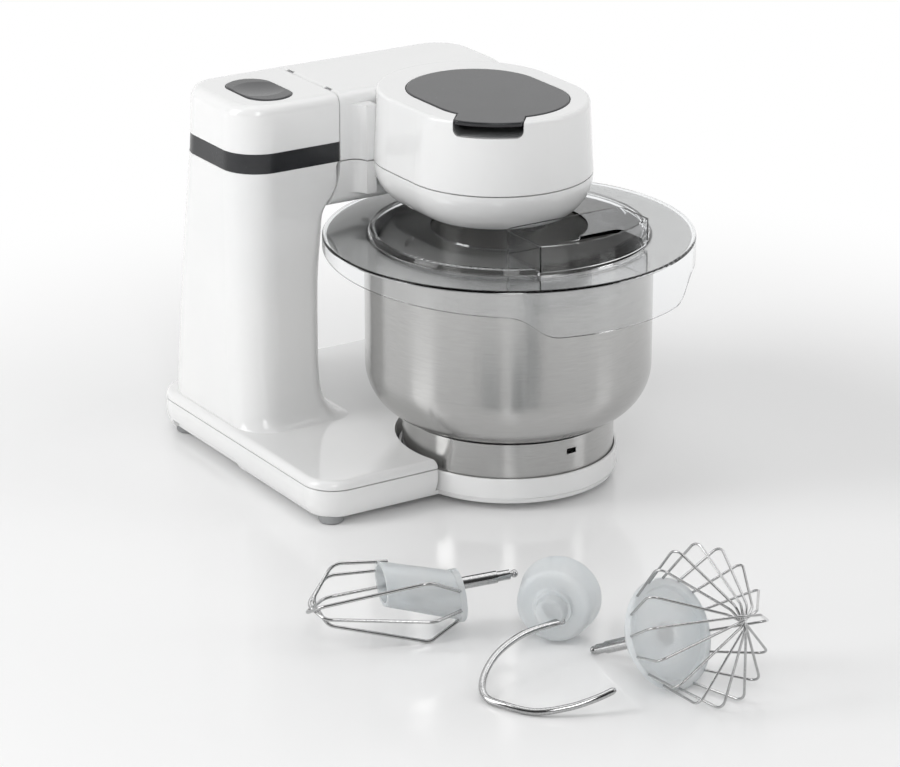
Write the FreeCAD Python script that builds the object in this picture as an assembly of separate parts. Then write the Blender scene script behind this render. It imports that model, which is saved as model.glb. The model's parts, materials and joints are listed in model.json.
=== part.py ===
import FreeCAD, Part
import math
import os

os.makedirs("parts", exist_ok=True)

# Stand mixer with a tilting arm, a steel bowl with a clear lid and three loose tools.
# Millimetres, Z up. While it is built, the bowl axis is x = y = 0 and the counter is z = 0;
# at the end everything is shifted so that the origin is the middle of the bottom of the whole.

# Fits shared by all pieces
RUN = 0.05            # radial play of a shaft in its bore
FREE = 0.4            # gap between pieces that move past each other
GROOVE = 0.9          # visible line between two housing shells
WALL = 3.0            # housing wall

# Base
BASE_LEFT = -173.2
BASE_RIGHT = 66.0
BASE_FRONT = -27.4
BASE_BACK = 222.0
BASE_CORNER_FL = 24.0
BASE_CORNER_BL = 28.0
BASE_CORNER_BR = 45.0
FOOT_R = 9.0
FOOT_H = 6.0
PARTING_Z = 27.0
PLATFORM_Z = 33.5
PLATFORM_EDGE = 5.0
FLOOR_T = 2.5
BASE_DRAFT = 2.5
SKIRT_LIFT = 6.0      # the left wall is cut this much higher towards the back
SOCKET_R = 79.4       # foot of the round bowl socket
SOCKET_FOOT_Z = 10.0
SOCKET_TOP_Z = 24.8
RECESS_R = 82.0

# Tower
TOWER_LEFT = -167.0
TOWER_FRONT = 88.8
TOWER_CORNER = 28.0
TOWER_CORNER_BACK = 26.0
TOWER_RIGHT = -102.6
TOWER_BACK_LOW = 213.0
TOWER_BACK_TOP = 186.0
BAND_Z = 226.8
BAND_H = 14.7
TOP_Z = 276.0
TOP_EDGE = 8.0
CAP_BACK_DRAFT = 4.0

# Seam between tower and arm: upright, then an arc that runs back under the arm
SEAM_X = -86.8
SEAM_GAP = 0.7
SEAM_ARC = 56.0
ARM_UNDER_Z = 194.0

# Arm and head
ARM_RIGHT = 67.0
ARM_CORNER = 30.0
ARM_FILLET = 10.0
HEAD_X = -1.0
HEAD_Y1 = 15.0
HEAD_Y2 = 52.0
HEAD_R = 69.0
HEAD_R_TOP = 66.0
HEAD_RISE = 3.2       # the head's top stands this much above the arm's
HEAD_TOP_Z = TOP_Z + HEAD_RISE
HEAD_EDGE = 2.5
HEAD_LOW_R = 55.0
HEAD_LOW_Z = 199.0
HINGE_R = 4.0         # rounding of the arm's rear top edge, centred on the hinge axis
PIN_R = 1.5

# Drive cover on the head
COVER_R = 49.3
COVER_Y1 = 11.0
COVER_Y2 = 43.5
COVER_T = 3.0
COVER_RISE = 0.6
COVER_TOP_Z = HEAD_TOP_Z + COVER_RISE
COVER_GAP = 0.6
COVER_DEEP = 13.8
COVER_FLOOR_Z = COVER_TOP_Z - COVER_DEEP
TAB_ANGLE = -131.0
TAB_HALF = 24.0
NOTCH_DEEP = 11.6
NOTCH_Z = COVER_TOP_Z - NOTCH_DEEP

# Release button
BUTTON_X = -128.5
BUTTON_Y = 131.0
BUTTON_L = 60.0
BUTTON_W = 35.5
BUTTON_RISE = 0.8

# Drive train
GEAR_M = 1.0
SUN_N = 15
PLANET_N = 24
RING_N = 63
GEAR_Z = 205.6
GEAR_H = 11.0
RING_OUT_R = 36.0
CARRIER_R = 34.0
CARRIER_Z = 197.0
SHAFT_R = 4.0
SPINDLE_R = 6.5
SPINDLE_END_Z = 184.0
SPINDLE_SLEEVE_R = 8.5
TOOL_BORE_R = 4.4
TOOL_BORE_L = 18.0
TOOL_FIT = 0.25        # radial play of a tool shank in the spindle
PULLEY_Z = 250.0
PULLEY_H = 12.0
PULLEY_R = 44.0
BELT_T = 1.8
MOTOR_X = -8.0
MOTOR_Y = 132.0
MOTOR_R = 36.0
MOTOR_PULLEY_R = PULLEY_R / 6.0
ROTOR_R = 25.0
ROTOR_SHAFT_R = 3.0

# Bowl and lid
BOWL_R = 103.3
BOWL_T = 1.2
FLANGE_R = 130.0
FLANGE_Z = 182.0
BOWL_BEND_Z = 88.0
BOWL_FLOOR_Z = 50.0
BOWL_FLOOR_R = 77.0
RING_R = 76.6
RING_T = 1.4
TWIST = 25.0
LID_T = 2.0
LID_PLAY = 1.2
LID_STEP_R = 100.0
LID_TOP_Z = 189.0
LID_HOLE_R = 56.0
SKIRT_SHALLOW = 17.0
SKIRT_DEEP = 33.0
SKIRT_TILT = 0.055
COLLAR_LEFT = -38.0
COLLAR_RIGHT = 62.0
COLLAR_WALL_Y = -49.5
COLLAR_R = 104.0
COLLAR_TOP_Z = 205.5

# Loose tools, each measured along its own axis from the tip of its shank
TOOL_L = 146.0
STIR_TIP = (-139.5, -225.9)
STIR_AIM = (-0.964, 0.257, -0.063)
STIR_WIRE_R = 1.15
STIR_HUB = (42.0, 92.0)
STIR_REAR_R = 16.5
STIR_FRONT_R = 15.2
STIR_SLANT = 17.0
STIR_BULGE = 34.0
STIR_SIDES = (32.0, -14.0, -60.0)
HOOK_FACE = 44.0
HOOK_DRUM_R = 27.5
HOOK_DRUM_T = 22.0
HOOK_ROD_R = 2.3
HOOK_AT = (-142.6, -272.2)
HOOK_AIM = (-0.735, -0.678, 0.0)
BALLOON_TIP = (-127.0, -294.0)
BALLOON_TURN = -75.0
BALLOON_HUB = 74.0
BALLOON_HUB_R = 36.0
BALLOON_BULGE = (108.0, 54.0)
BALLOON_LOOPS = 8
BALLOON_WIRE_R = 0.85

V = FreeCAD.Vector
nodes = {}


def box(x0, x1, y0, y1, z0, z1):
    return Part.makeBox(x1 - x0, y1 - y0, z1 - z0, V(x0, y0, z0))


def cyl(r, z0, z1, x=0.0, y=0.0):
    return Part.makeCylinder(r, z1 - z0, V(x, y, z0))


def cyl_y(r, y0, y1, x, z):
    return Part.makeCylinder(r, y1 - y0, V(x, y0, z), V(0, 1, 0))


def cone(r0, r1, z0, z1, x=0.0, y=0.0):
    return Part.makeCone(r0, r1, z1 - z0, V(x, y, z0))


def tube(ro, ri, z0, z1, x=0.0, y=0.0):
    return cyl(ro, z0, z1, x, y).cut(cyl(ri, z0 - 1, z1 + 1, x, y))


def fuse(*shapes):
    out = shapes[0]
    for s in shapes[1:]:
        out = out.fuse(s)
    return out.removeSplitter()


def outline(pts, place):
    """Closed wire through (u, v, corner radius); place turns a flat point into a 3-D one."""
    ends = []
    n = len(pts)
    for i in range(n):
        u, v, r = pts[i]
        p = V(u, v, 0)
        if r <= 0:
            ends.append((p, None, p))
            continue
        a = (V(pts[i - 1][0], pts[i - 1][1], 0) - p).normalize()
        b = (V(pts[(i + 1) % n][0], pts[(i + 1) % n][1], 0) - p).normalize()
        half = a.getAngle(b) / 2
        run = r / math.tan(half)
        mid = (a + b).normalize()
        ends.append((p + a * run, p + mid * (r / math.sin(half) - r), p + b * run))
    edges = []
    for i in range(n):
        start, mid, end = ends[i]
        if mid is not None:
            edges.append(Part.Arc(place(start), place(mid), place(end)).toShape())
        nxt = ends[(i + 1) % n][0]
        if (nxt - end).Length > 1e-5:
            edges.append(Part.makeLine(place(end), place(nxt)))
    return Part.Wire(edges)


def at_z(z):
    return lambda p: V(p.x, p.y, z)


def at_y(y):
    return lambda p: V(p.x, y, p.y)


def rect(x0, x1, y0, y1, radii, z):
    """Rounded rectangle; radii run front left, front right, back right, back left."""
    fl, fr, br, bl = radii
    return outline([(x0, y0, fl), (x1, y0, fr), (x1, y1, br), (x0, y1, bl)], at_z(z))


def stadium(x, y1, y2, r, z):
    return rect(x - r, x + r, y1 - r, y2 + r, (r, r, r, r), z)


def prism(wire, h):
    return Part.Face(wire).extrude(V(0, 0, h))


def loft(wires, ruled=False):
    return Part.makeLoft(wires, True, ruled)


def turned(pts, x=0.0, y=0.0):
    """Solid of revolution about the upright line at x, y; pts are (radius, z, corner radius)."""
    wire = outline(pts, lambda p: V(x + p.x, y, p.y))
    return Part.Face(wire).revolve(V(x, y, 0), V(0, 0, 1), 360)


def edges_at(shape, z, keep=lambda e: True):
    return [e for e in shape.Edges if all(abs(v.Z - z) < 1e-4 for v in e.Vertexes) and keep(e)]


def add(name, *shapes):
    solids = []
    for s in shapes:
        solids.extend(s.Solids)
    nodes[name] = solids[0] if len(solids) == 1 else Part.makeCompound(solids)


# Base
BASE_RADII = (BASE_CORNER_FL, 20.0, BASE_CORNER_BR, BASE_CORNER_BL)


def base_plan(inset, z):
    radii = tuple(max(r - inset, 2.0) for r in BASE_RADII)
    return rect(BASE_LEFT + inset, BASE_RIGHT - inset, BASE_FRONT + inset, BASE_BACK - inset, radii, z)


LOWER_TOP = PARTING_Z - GROOVE / 2
UPPER_BOTTOM = PARTING_Z + GROOVE / 2
FLOOR_TOP = FOOT_H + FLOOR_T
LOWER_MID = FOOT_H + (LOWER_TOP - FOOT_H) * 0.35
PLATFORM_UNDER = PLATFORM_Z - WALL

lower = loft([base_plan(BASE_DRAFT + 1.5, FOOT_H), base_plan(0.9, LOWER_MID), base_plan(0.2, LOWER_TOP)])
lower = lower.cut(cyl(RECESS_R, SOCKET_FOOT_Z, PLATFORM_Z))
lower = lower.fuse(cone(SOCKET_R - 2.0, SOCKET_R, FOOT_H, SOCKET_FOOT_Z))
hollow = loft([base_plan(BASE_DRAFT + 1.5 + WALL, FLOOR_TOP), base_plan(0.9 + WALL, LOWER_MID + FLOOR_T),
               base_plan(0.2 + WALL, LOWER_TOP + 1)])
lower = lower.cut(hollow).cut(cyl(SOCKET_R - 3.3, FLOOR_TOP, PLATFORM_Z))
STEP_Y = TOWER_FRONT + 9.0
lower = lower.cut(box(BASE_LEFT - 1, BASE_LEFT + 12, STEP_Y, BASE_BACK - BASE_CORNER_BL, 0,
                      FOOT_H + SKIRT_LIFT)
                  .cut(box(BASE_LEFT + 6, BASE_LEFT + 13, STEP_Y - 1, BASE_BACK, 0,
                           FOOT_H + SKIRT_LIFT + 1)))
sill = box(BASE_LEFT + 6, BASE_LEFT + 8, STEP_Y - 2, BASE_BACK - BASE_CORNER_BL + 2, FOOT_H, LOWER_TOP - 6)
lower = lower.fuse(sill)

POSTS = [(BASE_LEFT + 24, BASE_FRONT + 30), (BASE_LEFT + 28, BASE_BACK - 36),
         (BASE_RIGHT - 34, BASE_BACK - 38), (BASE_LEFT + 118, BASE_BACK - 20), (-100.0, BASE_FRONT + 16)]
SCREW_R = 1.6
SCREW_HEAD_R = 3.4
POST_R = 5.0
screws = []
for x, y in POSTS:
    lower = lower.cut(cyl(SCREW_R, 0, FLOOR_TOP + 1, x, y)).cut(cyl(SCREW_HEAD_R + 0.3, 0, FOOT_H + 0.9,
                                                                    x, y))
    screws.append(cyl(SCREW_R, FOOT_H + 0.9, FLOOR_TOP + 9, x,
                      y).fuse(cone(2.4, SCREW_HEAD_R, FOOT_H - 0.9, FOOT_H + 0.9, x, y)))
add("base_screws", *screws)

FEET = [(BASE_LEFT + 16.5, BASE_FRONT + 15.0), (BASE_LEFT + 16.0, BASE_BACK - 25.0),
        (BASE_RIGHT - 22.0, BASE_BACK - 26.0), (46.0, -44.0)]
FOOT_STEM_R = 3.5
feet = []
for x, y in FEET:
    foot = cyl(FOOT_R, 0, FOOT_H, x, y)
    foot = foot.makeFillet(1.5, edges_at(foot, 0))
    feet.append(foot.fuse(cyl(FOOT_STEM_R, FOOT_H, FLOOR_TOP + 1.2, x, y)))
    lower = lower.cut(cyl(FOOT_STEM_R, 0, FLOOR_TOP + 0.5, x, y))
add("base_feet", *feet)

GLAND_X = -120.0
GLAND_Z = 17.0
GLAND_R = 6.5
CORD_R = 3.2
lower = lower.cut(cyl_y(GLAND_R - 1.5, BASE_BACK - 12, BASE_BACK + 2, GLAND_X, GLAND_Z))
gland = cyl_y(GLAND_R - 1.5, BASE_BACK - 5, BASE_BACK, GLAND_X, GLAND_Z)
gland = gland.fuse(cyl_y(GLAND_R, BASE_BACK - 0.4, BASE_BACK + 3, GLAND_X, GLAND_Z))
gland = gland.cut(cyl_y(CORD_R, BASE_BACK - 20, BASE_BACK + 9, GLAND_X, GLAND_Z))
lower = lower.cut(cyl_y(GLAND_R, BASE_BACK - 0.4, BASE_BACK + 3, GLAND_X, GLAND_Z))
add("cord_gland", gland)
add("base_lower_shell", lower)


# Tower
def seam_x(z):
    """Right edge of the tower at height z above the underside of the arm."""
    if z >= BAND_Z:
        return SEAM_X
    d = BAND_Z - z
    return SEAM_X - SEAM_ARC + math.sqrt(SEAM_ARC ** 2 - d ** 2)


def tower_back(z):
    t = (z - PLATFORM_Z) / (BAND_Z - PLATFORM_Z)
    return TOWER_BACK_LOW + (TOWER_BACK_TOP - TOWER_BACK_LOW) * t ** 1.25


def tower_wire(z, right, corner, front=0.0, inset=0.0):
    radii = (TOWER_CORNER - inset, max(corner - inset, 0.6), max(corner - inset, 0.6),
             TOWER_CORNER_BACK - inset)
    return rect(TOWER_LEFT + inset, right - inset, TOWER_FRONT - front + inset, tower_back(z) - inset,
                radii, z)


ARM_END_X = seam_x(ARM_UNDER_Z)
TOWER_LEVELS = [
    (PLATFORM_Z, TOWER_RIGHT + 22, 16, 9.0), (PLATFORM_Z + 2.5, TOWER_RIGHT + 15, 14, 6.0),
    (PLATFORM_Z + 7, TOWER_RIGHT + 9, 12, 3.2), (PLATFORM_Z + 14, TOWER_RIGHT + 4, 11, 1.2),
    (PLATFORM_Z + 26, TOWER_RIGHT + 1, 10, 0.2), (PLATFORM_Z + 60, TOWER_RIGHT, 10, 0.0),
    (ARM_UNDER_Z - 50, TOWER_RIGHT + 0.8, 10, 0.0), (ARM_UNDER_Z - 18, TOWER_RIGHT + 2.8, 8, 0.0),
    (ARM_UNDER_Z, ARM_END_X, 5, 0.0), (ARM_UNDER_Z + 8, seam_x(ARM_UNDER_Z + 8), 3, 0.0),
    (ARM_UNDER_Z + 18, seam_x(ARM_UNDER_Z + 18), 2, 0.0), (BAND_Z, SEAM_X, 1.5, 0.0)]


def tower_loft(inset):
    return loft([tower_wire(z, right, corner, front, inset) for z, right, corner, front in TOWER_LEVELS])


platform = prism(base_plan(0.0, UPPER_BOTTOM), PLATFORM_Z - UPPER_BOTTOM)
platform = platform.makeFillet(PLATFORM_EDGE, edges_at(platform, PLATFORM_Z))
body = platform.fuse(tower_loft(0.0))
body = body.cut(prism(base_plan(WALL, UPPER_BOTTOM - 1), PLATFORM_UNDER - UPPER_BOTTOM + 1))
body = body.cut(tower_loft(WALL))
link = rect(TOWER_LEFT + WALL, TOWER_RIGHT - WALL, TOWER_FRONT + WALL, TOWER_BACK_LOW - WALL - 4,
            (TOWER_CORNER - WALL, 8, 8, TOWER_CORNER_BACK - WALL), PLATFORM_UNDER - 1)
body = body.cut(prism(link, WALL + 4))
body = body.cut(cyl(RECESS_R, 0, PLATFORM_Z + 1))
recess = tube(RECESS_R + WALL, RECESS_R, LOWER_MID + FLOOR_T + 1.3, PLATFORM_Z - 1)
recess = recess.common(prism(base_plan(WALL + 1.2, 0), PLATFORM_Z))
body = body.fuse(recess)
LIP_PLAY = 1.1
lip = prism(base_plan(WALL + LIP_PLAY, LOWER_TOP - 4), PLATFORM_UNDER - LOWER_TOP + 4)
lip = lip.cut(prism(base_plan(WALL + LIP_PLAY + 1.8, 0), PLATFORM_Z)).cut(cyl(RECESS_R, 0, PLATFORM_Z))
body = body.fuse(lip.cut(cyl_y(GLAND_R + 1, BASE_BACK - 20, BASE_BACK, GLAND_X, GLAND_Z)))
for x, y in POSTS:
    post = cyl(POST_R, FLOOR_TOP, PLATFORM_UNDER + 1, x, y)
    tie = box(BASE_LEFT + WALL + 1.2, x, y - 2, y + 2, LOWER_TOP + 1, PLATFORM_UNDER)
    if x < TOWER_LEFT + 40:
        post = post.fuse(tie)
    body = body.fuse(post).cut(cyl(SCREW_R, 0, FLOOR_TOP + 9, x, y))

# Speed knob on the far side of the tower
KNOB_X = -124.0
KNOB_Z = 122.0
KNOB_R = 17.0
KNOB_L = 13.0
KNOB_STEM_R = 3.0
PLINTH_R = 19.0
PLINTH_Y = TOWER_BACK_LOW - 4.0
KNOB_BACK = tower_back(KNOB_Z)
plinth = cyl_y(PLINTH_R, KNOB_BACK - WALL - 3, PLINTH_Y, KNOB_X, KNOB_Z)
inside = tower_loft(WALL)
body = body.fuse(plinth.cut(inside))
anchor = tower_loft(WALL - 1.0)
body = body.cut(cyl_y(KNOB_STEM_R + RUN, KNOB_BACK - 20, PLINTH_Y + 1, KNOB_X, KNOB_Z))

SWITCH_Y = KNOB_BACK - WALL - 6.0
add("switch_body", box(KNOB_X - 14, KNOB_X + 14, SWITCH_Y - 16, SWITCH_Y, KNOB_Z - 17, KNOB_Z + 17)
    .cut(cyl_y(KNOB_STEM_R + RUN, SWITCH_Y - 12, SWITCH_Y + 1, KNOB_X, KNOB_Z)))
bracket = box(KNOB_X - 18, KNOB_X - 14, SWITCH_Y - 16, KNOB_BACK + 2, KNOB_Z - 10, KNOB_Z + 10)
bracket = bracket.fuse(box(KNOB_X + 14, KNOB_X + 18, SWITCH_Y - 16, KNOB_BACK + 2, KNOB_Z - 10,
                           KNOB_Z + 10))
body = body.fuse(bracket.common(anchor))
knob = cyl_y(KNOB_R, PLINTH_Y + FREE, PLINTH_Y + FREE + KNOB_L, KNOB_X, KNOB_Z)
knob = knob.makeFillet(2.0,
                       [e for e in knob.Edges if abs(e.CenterOfMass.y - PLINTH_Y - FREE - KNOB_L) < 1e-4])
grip = box(KNOB_X - 3, KNOB_X + 3, PLINTH_Y + FREE + KNOB_L - 1, PLINTH_Y + FREE + KNOB_L + 2,
           KNOB_Z - KNOB_R + 5, KNOB_Z + KNOB_R - 3)
knob = knob.fuse(grip)
add("speed_knob", knob.fuse(cyl_y(KNOB_STEM_R, SWITCH_Y - 11, PLINTH_Y + FREE + 1, KNOB_X, KNOB_Z)))

# Control board on two ribs of the left wall
BOARD_X = TOWER_LEFT + 16.0
board = box(BOARD_X, BOARD_X + 1.6, TOWER_FRONT + 30, TOWER_FRONT + 82, 62, 150)
for dy, dz, w, h, d in ((8, 20, 16, 22, 14), (32, 14, 12, 12, 18), (30, 46, 14, 10, 9), (10, 60, 22, 8, 7)):
    y0 = TOWER_FRONT + 30 + dy
    board = board.fuse(box(BOARD_X + 1.6, BOARD_X + 1.6 + d, y0, y0 + w, 62 + dz, 62 + dz + h))
add("control_board", board)
for z0 in (70.0, 134.0):
    rib = box(TOWER_LEFT - 5, BOARD_X, TOWER_FRONT + 36, TOWER_FRONT + 76, z0, z0 + 4)
    body = body.fuse(rib.common(anchor))
add("body_shell", body)

# Bowl socket
LUGS = (30.0, 150.0, 270.0)
LUG_Z = 15.6
LUG_H = 2.8
LUG_HALF = 4.0
SOCKET_FLOOR = SOCKET_FOOT_Z + 2.2


def sector(ro, ri, z0, z1, a0, a1):
    """Part of a tube between two plan angles in degrees."""
    flat = [V(ri, 0, z0), V(ro, 0, z0), V(ro, 0, z1), V(ri, 0, z1), V(ri, 0, z0)]
    solid = Part.Face(Part.makePolygon(flat)).revolve(V(0, 0, 0), V(0, 0, 1), a1 - a0)
    solid.rotate(V(0, 0, 0), V(0, 0, 1), a0)
    return solid


SOCKET_IN = RING_R + 0.5
socket = turned([(0, SOCKET_FOOT_Z, 0), (SOCKET_R - 0.4, SOCKET_FOOT_Z, 0),
                 (SOCKET_R - 0.4, SOCKET_FLOOR, 0.3),
                 (SOCKET_R, SOCKET_TOP_Z, 0.8), (SOCKET_IN, SOCKET_TOP_Z, 0.8),
                 (SOCKET_IN, SOCKET_FLOOR, 0), (0, SOCKET_FLOOR, 0)])
for a in LUGS:
    lug = sector(SOCKET_IN + 1, RING_R - RING_T - 1.2, LUG_Z, LUG_Z + LUG_H, a - LUG_HALF, a + LUG_HALF)
    socket = socket.fuse(lug)
add("bowl_socket", socket)

# Band and cap of the tower
BAND_TOP = BAND_Z + BAND_H


def head_wire(z, inset, corner=0.0):
    t = (z - BAND_Z) / (TOP_Z - BAND_Z)
    back = TOWER_BACK_TOP - CAP_BACK_DRAFT * t
    radii = (TOWER_CORNER - inset, corner, corner, TOWER_CORNER_BACK - inset)
    return rect(TOWER_LEFT + t * 0.8 + inset, SEAM_X - inset, TOWER_FRONT + inset, back - inset, radii, z)


band = loft([head_wire(BAND_Z, 0.4), head_wire(BAND_TOP, 0.4)], True)
band = band.cut(loft([head_wire(BAND_Z - 1, WALL), head_wire(BAND_TOP + 1, WALL)], True))
add("tower_band", band)
cap = loft([head_wire(BAND_TOP, 0.0), head_wire(TOP_Z, 0.0)], True)
cap = cap.makeFillet(TOP_EDGE, edges_at(cap, TOP_Z, lambda e: abs(e.CenterOfMass.x - SEAM_X) > 0.5))
CAP_UNDER = TOP_Z - WALL
room = loft([head_wire(BAND_TOP - 1, WALL), head_wire(CAP_UNDER, WALL)], True)
room = room.makeFillet(TOP_EDGE - WALL,
                       edges_at(room, CAP_UNDER, lambda e: abs(e.CenterOfMass.x - SEAM_X) > WALL + 0.5))
cap = cap.cut(room)


def oval(grow, z):
    w = BUTTON_W / 2 + grow
    h = BUTTON_L / 2 + grow
    return rect(BUTTON_X - w, BUTTON_X + w, BUTTON_Y - h, BUTTON_Y + h, (w, w, w, w), z)


GUIDE_Z = TOP_Z - 20.0
cap = cap.cut(prism(oval(FREE, BAND_TOP), TOP_Z))
sleeve = prism(oval(FREE + 1.8, GUIDE_Z), CAP_UNDER - GUIDE_Z + 0.5).cut(prism(oval(FREE, GUIDE_Z - 1), 40))
floor = prism(oval(FREE + 1.8, GUIDE_Z - 2),
              2).cut(cyl(4.0 + FREE, GUIDE_Z - 3, GUIDE_Z + 1, BUTTON_X, BUTTON_Y))
cap = cap.fuse(sleeve).fuse(floor)

# Release button with a plunger, its return spring and the pawl it turns
button = prism(oval(0.0, TOP_Z - 9), 9 + BUTTON_RISE)
button = button.makeFillet(1.6, edges_at(button, TOP_Z + BUTTON_RISE))
dish = Part.makeSphere(160, V(BUTTON_X, BUTTON_Y, TOP_Z + BUTTON_RISE + 158.9))
button = button.cut(dish)
button = button.cut(prism(oval(-2.2, TOP_Z - 10), 7))
PLUNGER_R = 4.0
PLUNGER_END = GUIDE_Z - 9.0
button = button.fuse(cyl(PLUNGER_R, PLUNGER_END, TOP_Z - 2, BUTTON_X, BUTTON_Y))
add("release_button", button)
SPRING_R = 7.5
SPRING_WIRE = 0.9
SPRING_TURNS = 4
SPRING_LOW = GUIDE_Z + SPRING_WIRE
SPRING_HIGH = TOP_Z - 3 - SPRING_WIRE
half_rise = (SPRING_HIGH - SPRING_LOW) / SPRING_TURNS / 2
coils = []
for i in range(2 * SPRING_TURNS):
    side = 1 if i % 2 == 0 else -1
    low = SPRING_LOW + i * half_rise
    start = V(BUTTON_X + side * SPRING_R, BUTTON_Y, low)
    coil = Part.Face(Part.Wire([Part.makeCircle(SPRING_WIRE, start, V(0, 1, 0))]))
    centre = V(BUTTON_X, BUTTON_Y, low + half_rise / 2)
    coils.append(coil.revolve(centre, V(side * half_rise / 2 / SPRING_R, 0, 1), 180))
spring = fuse(*coils)
add("button_spring", spring)

PAWL_X = -112.0
PAWL_Z = 236.0
PAWL_PIN_R = 2.0
PAWL_W = 8.0
PAWL_TIP = SEAM_X + SEAM_GAP + WALL - 1.0
PAWL_PAD = PLUNGER_END - FREE
PAWL_Y0 = BUTTON_Y - PAWL_W / 2
pawl_side = outline([(BUTTON_X - 5, PAWL_PAD - 3, 0), (PAWL_X - 3, PAWL_Z - 4, 2),
                     (PAWL_TIP, PAWL_Z - 4, 0),
                     (PAWL_TIP, PAWL_Z - 1.0, 1), (PAWL_X + 3, PAWL_Z + 4.5, 2),
                     (BUTTON_X + 5, PAWL_PAD - 1.1, 0),
                     (BUTTON_X - 5, PAWL_PAD, 0)], at_y(PAWL_Y0))
pawl = Part.Face(pawl_side).extrude(V(0, PAWL_W, 0))
pawl = pawl.fuse(cyl_y(PAWL_PIN_R, PAWL_Y0 - 8, PAWL_Y0 + PAWL_W + 8, PAWL_X, PAWL_Z))
add("latch_pawl", pawl)
for y0 in (PAWL_Y0 - 7.5, PAWL_Y0 + PAWL_W + 3.5):
    cheek = box(PAWL_X - 5, PAWL_X + 5, y0, y0 + 4, PAWL_Z - 5, GUIDE_Z - 1.5)
    cap = cap.fuse(cheek.cut(cyl_y(PAWL_PIN_R + RUN, y0 - 1, y0 + 5, PAWL_X, PAWL_Z)))
PAWL_SLOT = (PAWL_Y0 - 1.5, PAWL_Y0 + PAWL_W + 1.5, PAWL_Z - 6, PAWL_Z + 12)
slot = box(SEAM_X - WALL - 6, SEAM_X + 1, *PAWL_SLOT)
nodes["tower_band"] = nodes["tower_band"].cut(slot)
cap = cap.cut(box(SEAM_X - WALL - 1, SEAM_X + 1, *PAWL_SLOT))

# Hinge: a steel bracket in the tower with two ears, and the pin the arm turns on
AXIS_X = SEAM_X + SEAM_GAP + HINGE_R
AXIS_Z = TOP_Z - HINGE_R
EAR_W = 8.0
EAR_R = 2.7
EARS = (TOWER_FRONT + 16.0, TOWER_FRONT + 70.0)
PLATE_X = SEAM_X - WALL
PIN_Y0 = TOWER_FRONT + 8.0
PIN_Y1 = TOWER_BACK_TOP - 14.0
bracket = box(PLATE_X - 2.5, PLATE_X, EARS[0] - 4, EARS[1] + EAR_W + 4, BAND_TOP + 10, CAP_UNDER - 5)
bracket = bracket.cut(box(PLATE_X - 3, PLATE_X + 1, PAWL_SLOT[0] - 2, PAWL_SLOT[1] + 2, BAND_Z,
                          PAWL_SLOT[3] + 2))
for y in EARS:
    ear = box(PLATE_X - 2.5, AXIS_X, y, y + EAR_W, AXIS_Z - 4.6, AXIS_Z - 1.0)
    ear = ear.cut(box(PLATE_X + 0.5, AXIS_X + 1, y - 1, y + EAR_W + 1, AXIS_Z - 5, AXIS_Z - 2.6))
    ear = ear.fuse(box(PLATE_X - 2.5, AXIS_X, y, y + EAR_W, AXIS_Z - 1.6, AXIS_Z + 0.9))
    ear = ear.fuse(cyl_y(EAR_R, y, y + EAR_W, AXIS_X, AXIS_Z))
    bracket = bracket.fuse(ear).cut(cyl_y(PIN_R, y - 1, y + EAR_W + 1, AXIS_X, AXIS_Z))
    cap = cap.cut(box(PLATE_X - 3, SEAM_X + 1, y - 0.3, y + EAR_W + 0.3, AXIS_Z - 4.9,
                      AXIS_Z + EAR_R + 0.3))
add("hinge_bracket", bracket)
add("hinge_pin", cyl_y(PIN_R, PIN_Y0, PIN_Y1, AXIS_X, AXIS_Z))
add("tower_cap", cap)

# Arm and head housing
ARM_LOW_TOP = BAND_Z - GROOVE / 2
ARM_UP_BOTTOM = BAND_Z + GROOVE / 2
ARM_BACK = TOWER_BACK_TOP
CUT = 400.0


def seam_side(inset):
    """Side view of the arm from the seam to beyond its right end, extruded through its depth."""
    gap = SEAM_GAP + inset
    low = ARM_UNDER_Z + inset
    top = TOP_Z - inset
    x_top = SEAM_X + gap
    nose = max(HINGE_R - inset, 1.0)

    def pt(x, z):
        return V(x, -CUT, z)
    mid_z = (low + BAND_Z) / 2
    k = nose * (1 - math.sqrt(0.5))
    edges = [Part.Arc(pt(seam_x(low) + gap, low), pt(seam_x(mid_z) + gap, mid_z),
                      pt(x_top, BAND_Z)).toShape(),
             Part.makeLine(pt(x_top, BAND_Z), pt(x_top, top - nose)),
             Part.Arc(pt(x_top, top - nose), pt(x_top + k, top - k), pt(x_top + nose, top)).toShape(),
             Part.makeLine(pt(x_top + nose, top), pt(CUT, top)),
             Part.makeLine(pt(CUT, top), pt(CUT, low)),
             Part.makeLine(pt(CUT, low), pt(seam_x(low) + gap, low))]
    return Part.Face(Part.Wire(edges)).extrude(V(0, 2 * CUT, 0))


def arm_wire(z, inset):
    t = max(0.0, (z - BAND_Z) / (TOP_Z - BAND_Z))
    c = ARM_CORNER - inset
    return rect(SEAM_X - 20, ARM_RIGHT - 2.0 * t - inset, TOWER_FRONT + inset,
                ARM_BACK - CAP_BACK_DRAFT * t - inset, (0, c, c, 0), z)


def free_edge(e):
    return e.CenterOfMass.x > SEAM_X - 15


def arm_upper(inset, bottom):
    top = TOP_Z - inset
    solid = loft([arm_wire(bottom, inset), arm_wire(top, inset)], True)
    solid = solid.makeFillet(TOP_EDGE - inset, edges_at(solid, top, free_edge))
    return solid.common(seam_side(inset))


def arm_lower(inset, top):
    low = ARM_UNDER_Z + inset
    solid = prism(arm_wire(low, inset), top - low)
    solid = solid.makeFillet(6.0 - inset, edges_at(solid, low, free_edge))
    return solid.common(seam_side(inset))


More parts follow.
